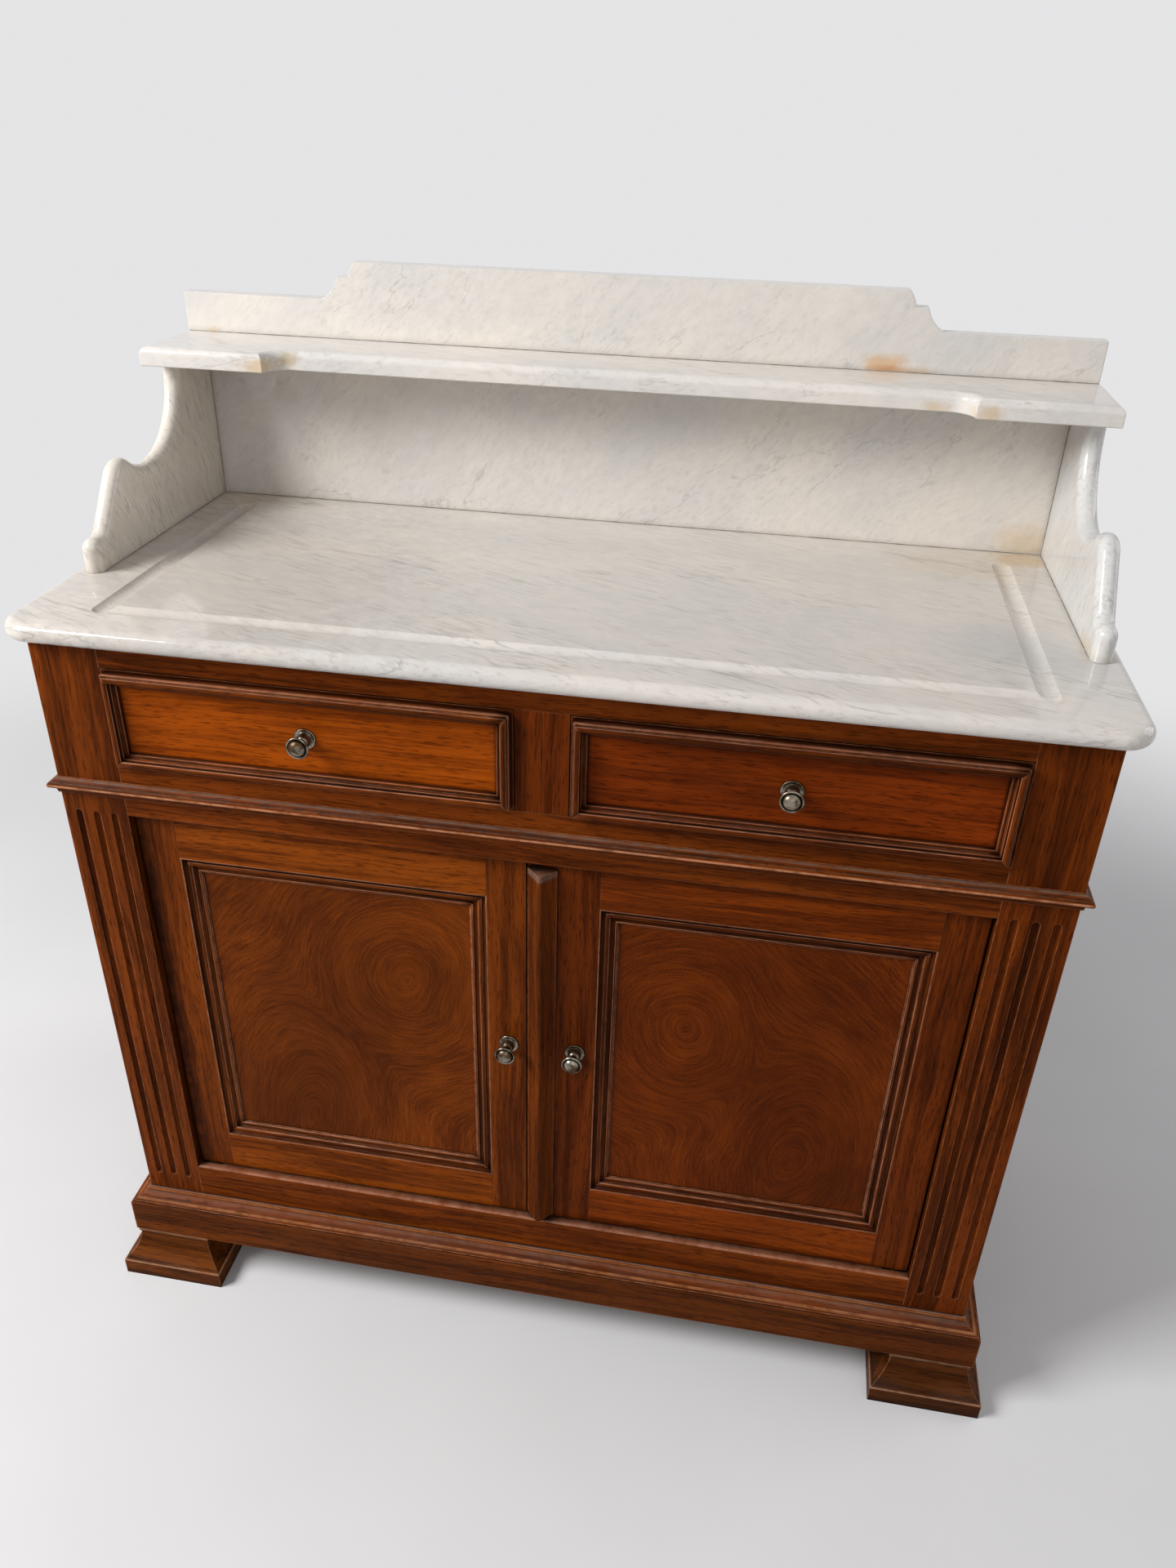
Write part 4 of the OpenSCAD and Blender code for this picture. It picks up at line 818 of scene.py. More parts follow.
@dataclass(frozen=True)
class AgedMetal(Finish):
    """Metal gone dark, brighter where it is touched."""

    bright: Colour = (0.28, 0.25, 0.2)
    dull: Colour = (0.075, 0.045, 0.022)
    grime_and_shade: Colour = (0.02, 0.015, 0.01)
    smooth: float = 0.2
    rough: float = 0.36

    def shade(self, wires: Wiring) -> Socket:
        """Wires patches of tarnish, rubbed edges and a little pitting.

        Args:
            wires: The wiring of the material's tree.

        Returns:
            The shader socket for the surface.
        """
        place = wires.object_place()
        edges = WearAndPaintedLight().place(wires, {"Vector": place, "Rough": 300.0, "Reach": 0.5 * MM})
        patch = wires.span(wires.noise(place, 95.0, 4.0, 0.6), 0.38, 0.62)
        colour = wires.mix(wires.most(patch, edges["WornAndHighlight"]), self.dull, self.bright)
        colour = wires.over(colour, edges["GrimeAndShade"], 0.75, self.grime_and_shade)
        rough = wires.span(patch, 0.0, 1.0, self.rough, self.smooth)
        pits = wires.bump(wires.noise(place, 500.0, 3.0, 0.6), 0.05, 0.1 * MM)
        return wires.skin(colour, rough, pits, {"Metallic": 1.0})


@dataclass(frozen=True)
class Cement(Finish):
    """Dark line of old cement and dirt between two plates."""

    dark: Colour = (0.11, 0.095, 0.08)
    light: Colour = (0.34, 0.31, 0.27)

    def shade(self, wires: Wiring) -> Socket:
        """Wires a grey that is broken along its length.

        Args:
            wires: The wiring of the material's tree.

        Returns:
            The shader socket for the surface.
        """
        broken = wires.span(wires.noise(wires.object_place(), 90.0, 4.0, 0.65), 0.3, 0.7)
        colour = wires.mix(broken, self.dark, self.light)
        return wires.skin(colour, wires.span(broken, 0.0, 1.0, 0.75, 0.9), wires.bump(broken, 0.4, 0.3 * MM), {})


@dataclass(frozen=True)
class Backcloth(Finish):
    """Pale matt floor that fades into the wall far from the object."""

    colour: Colour = (0.755, 0.75, 0.755)
    wall: Colour = (0.78, 0.78, 0.79)
    near: float = 1.3
    far: float = 2.3

    def shade(self, wires: Wiring) -> Socket:
        """Wires a barely mottled white, seen far away as the plain wall.

        Args:
            wires: The wiring of the material's tree.

        Returns:
            The shader socket for the surface.
        """
        place = wires.object_place()
        mottle = wires.noise(place, 3.0, 4.0, 0.6)
        colour = wires.mix(wires.span(mottle, 0.3, 0.7), self.colour, toned(self.colour, 0.97))
        rough = wires.span(mottle, 0.3, 0.7, 0.85, 0.95)
        values = {"Base Color": colour, "Roughness": rough, "Specular IOR Level": 0.1}
        matt = wires.first("ShaderNodeBsdfPrincipled", values)
        wall = wires.first("ShaderNodeEmission", {"Color": opaque(self.wall), "Strength": 1.0})
        away = wires.span(wires.length(place), self.near, self.far)
        return wires.first("ShaderNodeMixShader", {0: wires.times(away, seen_directly(wires)), 1: matt, 2: wall})


class GeometryTree:
    """A geometry node tree that is applied once to a plain mesh."""

    def __init__(self, title: str, sizes: dict[str, tuple[str, Any]]) -> None:
        """Starts the tree with its named inputs.

        Args:
            title: The tree's name.
            sizes: Socket type and value of each input, by name.
        """
        self.tree = bpy.data.node_groups.new(title, "GeometryNodeTree")
        self.wires = Wiring(self.tree)
        face = self.tree.interface
        face.new_socket(name="Geometry", in_out="INPUT", socket_type="NodeSocketGeometry")
        self.values = {face.new_socket(name=name, in_out="INPUT", socket_type=kind).identifier: value
                       for name, (kind, value) in sizes.items()}
        face.new_socket(name="Geometry", in_out="OUTPUT", socket_type="NodeSocketGeometry")
        self.given = self.wires.add("NodeGroupInput").outputs

    def close(self, geometry: Socket, finish: Finish) -> None:
        """Ends the tree with real geometry in one finish.

        Args:
            geometry: The shape so far.
            finish: The finish of the whole shape.
        """
        real = self.wires.first("GeometryNodeRealizeInstances", {"Geometry": geometry})
        values = {"Geometry": real, "Material": finish.material()}
        self.wires.add("NodeGroupOutput", {0: self.wires.first("GeometryNodeSetMaterial", values)})

    def bake(self, name: str, start: bpy.types.Mesh) -> bpy.types.Object:
        """Applies the tree to a mesh.

        Args:
            name: The name of the new piece.
            start: The mesh the tree reads.

        Returns:
            The piece, a plain mesh at the origin.
        """
        carrier = bpy.data.objects.new(name + "_start", start)
        bpy.context.scene.collection.objects.link(carrier)
        modifier = carrier.modifiers.new("shape", "NODES")
        modifier.node_group = self.tree
        for identifier, value in self.values.items():
            modifier[identifier] = value
        seen = bpy.context.evaluated_depsgraph_get()
        mesh = bpy.data.meshes.new_from_object(carrier.evaluated_get(seen), depsgraph=seen)
        carrier.modifiers.clear()
        bpy.data.objects.remove(carrier)
        mesh.name = name
        return linked(name, mesh)


def linked(name: str, mesh: bpy.types.Mesh) -> bpy.types.Object:
    """Puts a mesh in the scene.

    Args:
        name: The name of its object.
        mesh: The mesh.

    Returns:
        The object, at the origin.
    """
    piece = bpy.data.objects.new(name, mesh)
    bpy.context.scene.collection.objects.link(piece)
    return piece


def turned_outwards(mesh: bpy.types.Mesh, largest_hole: int = 0) -> None:
    """Turns the faces of a mesh outwards.

    Args:
        mesh: The mesh.
        largest_hole: The number of edges of the largest hole to close first, or 0 for none.
    """
    work = bmesh.new()
    work.from_mesh(mesh)
    if largest_hole:
        rims = [edge for edge in work.edges if edge.is_boundary]
        bmesh.ops.holes_fill(work, edges=rims, sides=largest_hole)
    bmesh.ops.recalc_face_normals(work, faces=work.faces)
    work.to_mesh(mesh)
    work.free()


def stacked_piece(name: str, rings: Sequence[Sequence[Point]], finish: Finish, crisp: float) -> bpy.types.Object:
    """Makes a closed piece from rings that have as many points each.

    Args:
        name: The name of the piece.
        rings: The rings, from one end to the other.
        finish: The finish of the piece.
        crisp: The angle in degrees from which an edge is shaded sharp.

    Returns:
        The piece, linked to the scene.
    """
    count = len(rings[0])
    last = count * (len(rings) - 1)
    faces: list[list[int]] = [list(range(count)), list(range(last, last + count))]
    for start in range(0, last, count):
        for i in range(count):
            after = (i + 1) % count
            faces.append([start + i, start + after, start + count + after, start + count + i])
    mesh = bpy.data.meshes.new(name)
    mesh.from_pydata([point for ring in rings for point in ring], [], faces)
    turned_outwards(mesh)
    mesh.shade_smooth()
    mesh.set_sharp_from_angle(angle=math.radians(crisp))
    mesh.materials.append(finish.material())
    return linked(name, mesh)


@dataclass
class Profile(ABC):
    """Section of a moulding: how proud it stands at each distance inwards, in millimetres."""

    width: float
    steps: int
    thinnest: float = 0.05
    reach: int = 2
    sharp: float = 0.35

    @abstractmethod
    def height(self, inward: float) -> float:
        """Gives the section.

        Args:
            inward: The distance from the outer edge.

        Returns:
            How proud the section stands there.
        """

    def mesh(self, name: str) -> bpy.types.Mesh:
        """Makes the section as a closed line of points in (inward, proud).

        Args:
            name: The mesh's name.

        Returns:
            A mesh of points, in metres, that carry how sharply the section bends outwards or inwards.
        """
        inward = [self.width * i / self.steps for i in range(self.steps + 1)]
        proud = [max(self.height(x), self.thinnest) for x in inward]
        bend = [0.0] * len(inward)
        for i in range(self.reach, len(inward) - self.reach):
            bend[i] = proud[i] - 0.5 * (proud[i - self.reach] + proud[i + self.reach])
        bend[0] = bend[1] = self.sharp
        points = list(zip(inward, proud)) + [(self.width, 0.0), (0.0, 0.0)]
        bend += [0.0, 0.0]
        mesh = bpy.data.meshes.new(name)
        mesh.from_pydata([(x * MM, z * MM, 0.0) for x, z in points], [], [])
        for title, sign in (("crest", 1.0), ("quirk", -1.0)):
            layer = mesh.attributes.new(title, "FLOAT", "POINT")
            layer.data.foreach_set("value", [min(max(sign * b / self.sharp, 0.0), 1.0) for b in bend])
        return mesh


@dataclass
class DrawerSection(Profile):
    """Section round a drawer front: a large bead, a hollow and a small bead."""

    width: float = 13.0
    steps: int = 56
    lip: float = 8.0
    crown: float = 12.0
    bead: float = 2.8
    hollow: float = 3.6
    small: float = 1.8

    def height(self, inward: float) -> float:
        """Follows straight lines, the beads over them and the hollow under them.

        Args:
            inward: The distance from the outer edge.

        Returns:
            How proud the section stands there.
        """
        bead_x, bead_z = self.bead + 1.7, self.crown - self.bead
        small_x = self.width - self.small - 0.2
        hollow_x = bead_x + self.bead + self.hollow - 0.3
        line = [(0.0, self.lip), (bead_x - self.bead, bead_z), (bead_x + self.bead, bead_z),
                (small_x - 0.6 * self.small, 1.6 * self.small), (self.width - 0.2, self.small),
                (self.width - 0.19, 0.0), (self.width + 1.0, 0.0)]
        top = max(along_line(line, inward), over_circle(inward, bead_x, bead_z, self.bead),
                  over_circle(inward, small_x, self.small + 0.4, self.small))
        return min(top, under_circle(inward, hollow_x, bead_z + 0.2, self.hollow))


@dataclass
class PanelSection(Profile):
    """Section round a door panel: a lip, a hollow, a rib, a second hollow and a small bead."""

    width: float = 20.0
    steps: int = 72
    lip: float = 8.0
    hollow: float = 4.4
    rib_x: float = 8.0
    rib_z: float = 3.6
    rib: float = 2.4
    second: float = 2.6
    bead_x: float = 16.8
    bead: float = 1.8

    def height(self, inward: float) -> float:
        """Follows flat steps, cut by the hollows, with the beads over them.

        Args:
            inward: The distance from the outer edge.

        Returns:
            How proud the section stands there.
        """
        flats = ((1.2, self.lip), (self.rib_x, self.lip - 1.0), (self.bead_x, self.rib_z - 0.8), (math.inf, 1.0))
        top = next(level for end, level in flats if inward <= end)
        top = max(top, over_circle(inward, self.bead_x, 1.4, self.bead))
        top = min(top, under_circle(inward, self.rib_x - 2.2, self.lip, self.hollow))
        if abs(inward - self.rib_x) < 1.2:
            top = min(top, self.rib_z + self.rib)
        top = min(top, under_circle(inward, self.rib_x + 5.4, self.rib_z, self.second))
        return max(top, over_circle(inward, self.rib_x, self.rib_z, self.rib), 0.3)


def along_line(line: Sequence[tuple[float, float]], x: float) -> float:
    """Finds the height of a chain of straight lines.

    Args:
        line: The corners of the chain.
        x: Where to look.

    Returns:
        The height there, or that of the last corner past it.
    """
    for (x0, z0), (x1, z1) in zip(line, line[1:]):
        if x0 <= x <= x1:
            return z0 + (z1 - z0) * (x - x0) / (x1 - x0)
    return line[-1][1]


def over_circle(x: float, middle: float, level: float, radius: float) -> float:
    """Returns the top of a circle at x, or 0 beside it."""
    away = abs(x - middle)
    return level + math.sqrt(radius * radius - away * away) if away < radius else 0.0


def under_circle(x: float, middle: float, level: float, radius: float) -> float:
    """Returns the bottom of a circle at x, or no limit beside it."""
    away = abs(x - middle)
    return level - math.sqrt(radius * radius - away * away) if away < radius else math.inf


class Side(Enum):
    """One length of a frame: its number, whether it lies level, and whether at the low corner."""

    FOOT = (0, True, True)
    RIGHT = (1, False, False)
    HEAD = (2, True, False)
    LEFT = (3, False, True)


@dataclass
class FrameMoulding:
    """A moulding mitred round a rectangle in XZ, its four lengths cut from one section.

    Its joint is the gap at each mitre, its hand the unevenness of planing by hand, and
    its log step how far apart in the log the lengths were cut.
    """

    name: str
    body: str
    replaced: str
    profile: Profile
    finish: Finish
    joint: float = 0.15 * MM
    hand: float = 0.12 * MM
    log_step: float = 3.1
    pieces: int = 24
    crisp: float = 32.0

    def make(self) -> bpy.types.Object:
        """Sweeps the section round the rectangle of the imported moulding.

        Returns:
            The finished moulding, riding on its body.
        """
        start = self.profile.mesh(self.name + "_section")
        count = len(start.vertices)
        low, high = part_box(self.replaced)
        tree = GeometryTree(self.name + "_sweep", {
            "Low": (VECTOR, (low.x, high.y, low.z)), "High": (VECTOR, tuple(high)),
            "Joint": (FLOAT, self.joint), "Hand": (FLOAT, self.hand)})
        lengths = [self.length(tree, side, count) for side in Side]
        joined = tree.wires.add("GeometryNodeJoinGeometry")
        for length in reversed(lengths):
            tree.tree.links.new(length, joined.inputs[0])
        tree.close(self.smoothed(tree.wires, joined.outputs[0]), self.finish)
        piece = tree.bake(self.name, start)
        turned_outwards(piece.data, count + 4)
        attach(piece, self.body)
        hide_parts(self.replaced)
        return piece

    def length(self, tree: GeometryTree, side: Side, count: int) -> Socket:
        """Makes one length from a grid, its rows along the run and its columns round the section.

        Args:
            tree: The tree with the sizes.
            side: Which length it is.
            count: The number of points of the section.

        Returns:
            The length, its ends open.
        """
        number, level, at_low = side.value
        run_axis, base_axis = (0, 2) if level else (2, 0)
        wires, given = tree.wires, tree.given
        low, high = wires.split(given["Low"]), wires.split(given["High"])
        index = wires.first("GeometryNodeInputIndex")
        row = wires.math("FLOOR", wires.math("DIVIDE", wires.plus(index, 0.5), float(count + 1)))
        ring = wires.math("MODULO", wires.math("MODULO", index, float(count + 1)), float(count))
        point = wires.first("FunctionNodeFloatToInt", {0: ring}, rounding_mode="ROUND")
        cut = wires.split(self.sample(tree, wires.first("GeometryNodeInputPosition"), point, "FLOAT_VECTOR"))
        # the ends lie on the mitres, where the run equals the distance inwards
        first = wires.plus(wires.plus(low[run_axis], cut[0]), given["Joint"])
        last = wires.minus(wires.minus(high[run_axis], cut[0]), given["Joint"])
        part = wires.math("DIVIDE", row, float(self.pieces))
        run = wires.first("ShaderNodeMix", {0: part, 2: first, 3: last}, data_type="FLOAT")
        base = wires.plus((low if at_low else high)[base_axis], wires.times(cut[0], 1.0 if at_low else -1.0))
        place = wires.join({run_axis: run, 1: wires.minus(low[1], cut[1]), base_axis: base})
        lift = wires.times(wires.minus(wires.noise(place, 32.0), 0.5), given["Hand"])
        lift = wires.times(lift, wires.math("GREATER_THAN", cut[1], 0.3 * MM))
        place = wires.vector("ADD", place, wires.join({1: lift}))
        values = {"Size X": 1.0, "Size Y": 1.0, "Vertices X": self.pieces + 1, "Vertices Y": count + 1}
        course = wires.join({0: wires.plus(run, self.log_step * number), 1: cut[0], 2: cut[1]})
        shape = self.store(wires, wires.first("GeometryNodeMeshGrid", values), "course", course, "FLOAT_VECTOR")
        shape = wires.first("GeometryNodeSetPosition", {"Geometry": shape, "Position": place})
        for title in ("crest", "quirk"):
            named = wires.first("GeometryNodeInputNamedAttribute", {"Name": title}, data_type="FLOAT")
            shape = self.store(wires, shape, title, self.sample(tree, named, point, "FLOAT"), "FLOAT")
        return shape if at_low else wires.first("GeometryNodeFlipFaces", {"Mesh": shape})

    def sample(self, tree: GeometryTree, value: Socket, point: Socket, kind: str) -> Socket:
        """Returns a value of the section at one of its points."""
        values = {"Geometry": tree.given["Geometry"], "Value": value, "Index": point}
        return tree.wires.first("GeometryNodeSampleIndex", values, data_type=kind, domain="POINT")

    def store(self, wires: Wiring, shape: Socket, title: str, value: Socket, kind: str) -> Socket:
        """Returns a shape that carries a value at its points, under a title."""
        values = {"Geometry": shape, "Name": title, "Value": value}
        return wires.first("GeometryNodeStoreNamedAttribute", values, data_type=kind, domain="POINT")

    def smoothed(self, wires: Wiring, joined: Socket) -> Socket:
        """Closes the seams of the lengths and shades them smooth, but for sharp edges.

        Args:
            wires: The wiring of the tree.
            joined: The four lengths.

        Returns:
            The shaded lengths.
        """
        merged = wires.first("GeometryNodeMergeByDistance", {"Geometry": joined, "Distance": 0.002 * MM})
        sharp = wires.math("GREATER_THAN", wires.first("GeometryNodeInputMeshEdgeAngle"), math.radians(self.crisp))
        values = {"Geometry": merged, "Shade Smooth": True}
        shaded = wires.first("GeometryNodeSetShadeSmooth", values, domain="FACE")
        values = {"Geometry": shaded, "Selection": sharp, "Shade Smooth": False}
        return wires.first("GeometryNodeSetShadeSmooth", values, domain="EDGE")


@dataclass(frozen=True)
class Arc:
    """Part of an ellipse, in millimetres and degrees; a negative radius turns it the other way."""

    middle: tuple[float, float]
    radii: tuple[float, float]
    first: float
    last: float
    steps: int

    def points(self) -> list[tuple[float, float]]:
        """Walks along the arc in even turns.

        Returns:
            The points from its first end to its last.
        """
        (x, y), (across, out) = self.middle, self.radii
        turns = [math.radians(self.first + (self.last - self.first) * i / self.steps) for i in range(self.steps + 1)]
        return [(x + across * math.cos(turn), y + out * math.sin(turn)) for turn in turns]


@dataclass
class TurnedKnob:
    """A turned knob: a dome in a beaded rim, on a neck that spreads at both ends, with its screw.

    Its section is given as (radius, distance out from the wood), in millimetres.
    """

    name: str
    body: str
    replaced: str
    finish: Finish
    screw: tuple[tuple[float, float], ...] = ((2.5, -13.0), (2.5, 3.98), (4.2, 3.51), (5.8, 2.83))
    foot: Arc = Arc((3.9, 1.95), (3.4, 8.05), 0, 84, 10)
    flare: Arc = Arc((9.6, 10.2), (-5.7, 8.6), 12, 90, 8)
    rim: Arc = Arc((10.15, 19.95), (1.15, 1.15), -80, 175, 16)
    groove: tuple[float, float] = (8.8, 19.5)
    dome: Arc = Arc((0.0, 19.8), (8.55, 6.2), 3, 87, 14)
    out: float = 26 * MM
    steps: int = 56
    crisp: float = 50.0

    def make(self) -> bpy.types.Object:
        """Turns the section about the knob's axis.

        Returns:
            The knob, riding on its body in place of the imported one.
        """
        low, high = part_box(self.replaced)
        middle = (low + high) / 2
        section = [*self.screw, *self.foot.points(), *self.flare.points(), *self.rim.points(), self.groove,
                   *self.dome.points()]
        turns = [math.tau * i / self.steps for i in range(self.steps)]
        rings = [[(middle.x + radius * MM * math.cos(turn), low.y + self.out - out * MM,
                   middle.z + radius * MM * math.sin(turn)) for turn in turns] for radius, out in section]
        piece = stacked_piece(self.name, rings, self.finish, self.crisp)
        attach(piece, self.body)
        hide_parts(self.replaced)
        return piece


@dataclass
class ShelfPlate:
    """The marble shelf, its upper arris rounded, with a cove beside each deeper end."""

    cove_end: float = 374 * MM
    cove: float = 24 * MM
    nose: float = 8 * MM
    chamfer: float = 0.7 * MM
    steps: int = 10
    crisp: float = 28.0

    def make(self, finish: Finish) -> bpy.types.Object:
        """Stacks the outline, drawn in a little at each level of the rounded arris.

        Args:
            finish: The finish of the plate.

        Returns:
            The plate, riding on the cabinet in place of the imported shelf.
        """
        low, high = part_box("marble_shelf")
        levels = [(low.z, self.chamfer), (low.z + self.chamfer, 0.0)]
        for i in range(self.steps + 1):
            turn = math.radians(90 * i / self.steps)
            levels.append((high.z - self.nose * (1 - math.sin(turn)), self.nose * (1 - math.cos(turn))))
        rings = [[(x, y, z) for x, y in self.outline(low, high, inset)] for z, inset in levels]
        piece = stacked_piece("marble_shelf_plate", rings, finish, self.crisp)
        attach(piece, "cabinet")
        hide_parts("marble_shelf")
        return piece

    def outline(self, low: Vector, high: Vector, inset: float) -> list[tuple[float, float]]:
        """Draws the plan of the plate.

        Args:
            low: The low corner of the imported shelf.
            high: Its high corner.
            inset: How far the plan is drawn in at the front and the ends.

        Returns:
            The plan, from the right end round the front to the left end.
        """
        reach = self.cove + inset
        middle = self.cove_end - self.cove
        widest = math.acos(inset / reach)
        count = 2 * self.steps
        half = [(high.x - inset, high.y), (high.x - inset, low.y + inset)]
        for i in range(count, -1, -1):
            turn = widest * i / count
            half.append((middle + reach * math.sin(turn), low.y + reach * math.cos(turn)))
        return half + [(-x, y) for x, y in reversed(half)]


@dataclass
class SubAssembly(ABC):
    """A group of pieces that is dressed as one."""

    title: str

    @abstractmethod
    def dress(self) -> Iterable[str]:
        """Makes and coats the pieces.

        Returns:
            The name of each piece, for the log.
        """

    def coat(self, finish: Finish, *names: str) -> Iterable[str]:
        """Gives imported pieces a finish.

        Args:
            finish: The finish for all of them.
            names: The pieces' node names.

        Returns:
            The names, for the log.
        """
        for name in names:
            for slot in bpy.data.objects[name].material_slots:
                slot.material = finish.material()
        return names


@dataclass
class MarbleGallery(SubAssembly):
    """The top slab and the four plates that stand on it."""

    line: float = 0.7 * MM
    foot: float = 12 * MM
    end: float = 1 * MM
    bracket_reach: float = 215 * MM

    def dress(self) -> Iterable[str]:
        """Coats each plate as its own cut of the block and runs the cement lines.

        Returns:
            The name of each piece, for the log.
        """
        yield from self.coat(self.slab(), "marble_top")
        yield from self.coat(self.upstand(), "marble_back")
        shelf = self.shelf()
        yield from self.coat(shelf, "marble_shelf")
        yield ShelfPlate().make(shelf).name
        # a warmer, yellower copy of the marble: painted warm bounce light in the shade of the left bracket
        left = Marble("marble_end_left_warm_bounce", run=(0.05, 0.42, -0.9), shift=(0.1, 0.8, 0.5),
                      warm=(0.80, 0.73, 0.635), cool=(0.67, 0.61, 0.53), flecks=0.42)
        yield from self.coat(left, "marble_bracket_left")
        low_stain = Stain((0.498, -0.05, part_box("marble_top")[1].z + 0.006), (0.05, 0.04, 0.012), OCHRE, 0.6)
        right = Marble("marble_end_right", run=(0.05, 0.42, -0.9), shift=(0.9, 0.2, 0.3),
                       warm=(0.745, 0.725, 0.69), cool=(0.64, 0.64, 0.635), stains_and_shade=(low_stain,))
        yield from self.coat(right, "marble_bracket_right")
        iron = AgedMetal("dowel_iron_dull", bright=(0.13, 0.12, 0.11), dull=(0.05, 0.045, 0.04))
        yield from self.coat(iron, "marble_dowels")
        yield self.joints().name

    def slab(self) -> Marble:
        """Cuts the top slab from the block.

        Returns:
            Its finish.
        """
        top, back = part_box("marble_top")[1].z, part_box("marble_back")[0].y
        return Marble("marble_slab", run=(0.93, -0.36, 0.03), stretch=11.0, veins=0.45,
                      warm=(0.73, 0.672, 0.607), cool=(0.623, 0.598, 0.565), stains_and_shade=(
                          # darker, greyer patch over the left of the slab: painted shade
                          Stain((-0.36, -0.05, top), (0.30, 0.40, 0.2), (0.86, 0.84, 0.82), 1.0),
                          Stain((0.465, back - 0.02, top), (0.05, 0.04, 0.05), OCHRE, 0.8),
                          Stain((0.40, back - 0.05, top), (0.12, 0.08, 0.05), OCHRE, 0.35),
                          Stain((-0.45, back - 0.02, top), (0.05, 0.05, 0.05), OCHRE, 0.4)))

    def upstand(self) -> Marble:
        """Cuts the back plate from the block.

        Returns:
            Its finish.
        """
        top, back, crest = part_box("marble_top")[1].z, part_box("marble_back")[0].y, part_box("marble_shelf")[1].z
        return Marble("marble_upstand", run=(0.7, 0.2, 0.68), shift=(0.3, 1.1, 0.2), stretch=2.6, flecks=0.17, stains_and_shade=(
            Stain((0.285, back, crest + 0.008), (0.036, 0.03, 0.014), RUST, 0.8),
            Stain((0.30, back, crest), (0.05, 0.03, 0.009), (0.85, 0.5, 0.22), 0.6),
            Stain((-0.478, back, crest), (0.012, 0.02, 0.008), OCHRE, 0.7),
            Stain((0.47, back, top + 0.01), (0.05, 0.04, 0.03), OCHRE, 0.6)))

    def shelf(self) -> Marble:
        """Cuts the shelf from the block.

        Returns:
            Its finish.
        """
        low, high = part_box("marble_shelf")
        return Marble("marble_shelf_plate", run=(0.95, -0.3, 0.1), shift=(0.7, 0.4, 0.9), flecks=0.2,
                      warm=(0.785, 0.73, 0.667), cool=(0.67, 0.643, 0.614), stains_and_shade=(
                          Stain((-0.372, low.y + 0.004, low.z + 0.006), (0.04, 0.03, 0.013), OCHRE, 0.9),
                          Stain((-0.352, low.y + 0.02, high.z - 0.006), (0.016, 0.02, 0.012), (0.7, 0.62, 0.45), 0.8),
                          Stain((0.386, low.y + 0.004, low.z + 0.006), (0.022, 0.02, 0.012), OCHRE, 0.8),
                          Stain((0.335, low.y + 0.024, low.z + 0.004), (0.02, 0.02, 0.01), OCHRE, 0.8)))

    def joint_paths(self) -> list[list[Point]]:
        """Finds the inner joints of the plates.

        Returns:
            The corners of each line, a little way inside the stone.
        """
        sink = 0.35 * self.line
        back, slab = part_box("marble_back"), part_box("marble_top")[1].z + sink
        shelf_low, shelf_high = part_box("marble_shelf")
        left_low, left_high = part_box("marble_bracket_left")
        wall, under, above = back[0].y - sink, shelf_low.z - sink, shelf_high.z + sink
        left, right = left_high.x + sink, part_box("marble_bracket_right")[0].x - sink
        front, front_up, end = left_low.y + self.foot, left_low.y + self.bracket_reach, back[1].x - self.end
        return [[(left, front, slab), (left, wall, slab), (right, wall, slab), (right, front, slab)],
                [(left, wall, slab), (left, wall, under), (right, wall, under), (right, wall, slab)],
                [(-end, wall, above), (end, wall, above)],
                [(left, front_up, under), (left, wall, under)],
                [(right, front_up, under), (right, wall, under)]]

    def joints(self) -> bpy.types.Object:
        """Runs a thin round line of cement along each inner joint of the plates.

        Returns:
            The lines as one piece on the cabinet.
        """
        points: list[Point] = []
        edges: list[tuple[int, int]] = []
        for path in self.joint_paths():
            edges += [(len(points) + i, len(points) + i + 1) for i in range(len(path) - 1)]
            points += path
        start = bpy.data.meshes.new("cement_paths")
        start.from_pydata(points, edges, [])
        tree = GeometryTree("cement_sweep", {"Line": (FLOAT, self.line)})
        wires = tree.wires
        path = wires.first("GeometryNodeMeshToCurve", {"Mesh": tree.given["Geometry"]})
        half = wires.times(tree.given["Line"], 0.5)
        ring = wires.first("GeometryNodeCurvePrimitiveCircle", {"Resolution": 8, "Radius": half})
        swept = wires.first("GeometryNodeCurveToMesh", {"Curve": path, "Profile Curve": ring, "Fill Caps": True})
        smooth = wires.first("GeometryNodeSetShadeSmooth", {"Geometry": swept, "Shade Smooth": True})
        tree.close(smooth, Cement("old_cement"))
        piece = tree.bake("cement_lines", start)
        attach(piece, "cabinet")
        return piece


def courses_on(node: str, *rows: tuple[float, float, Colour, float]) -> tuple[Course, ...]:
    """Places courses on a moulding by shares of its height.

    Args:
        node: The name of the moulding.
        rows: Level and half width as shares, colour and strength of each.

    Returns:
        The courses.
    """
    foot, crown = (corner.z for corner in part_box(node))
    rise = crown - foot
    return tuple(Course(foot + level * rise, half * rise, colour, strength) for level, half, colour, strength in rows)


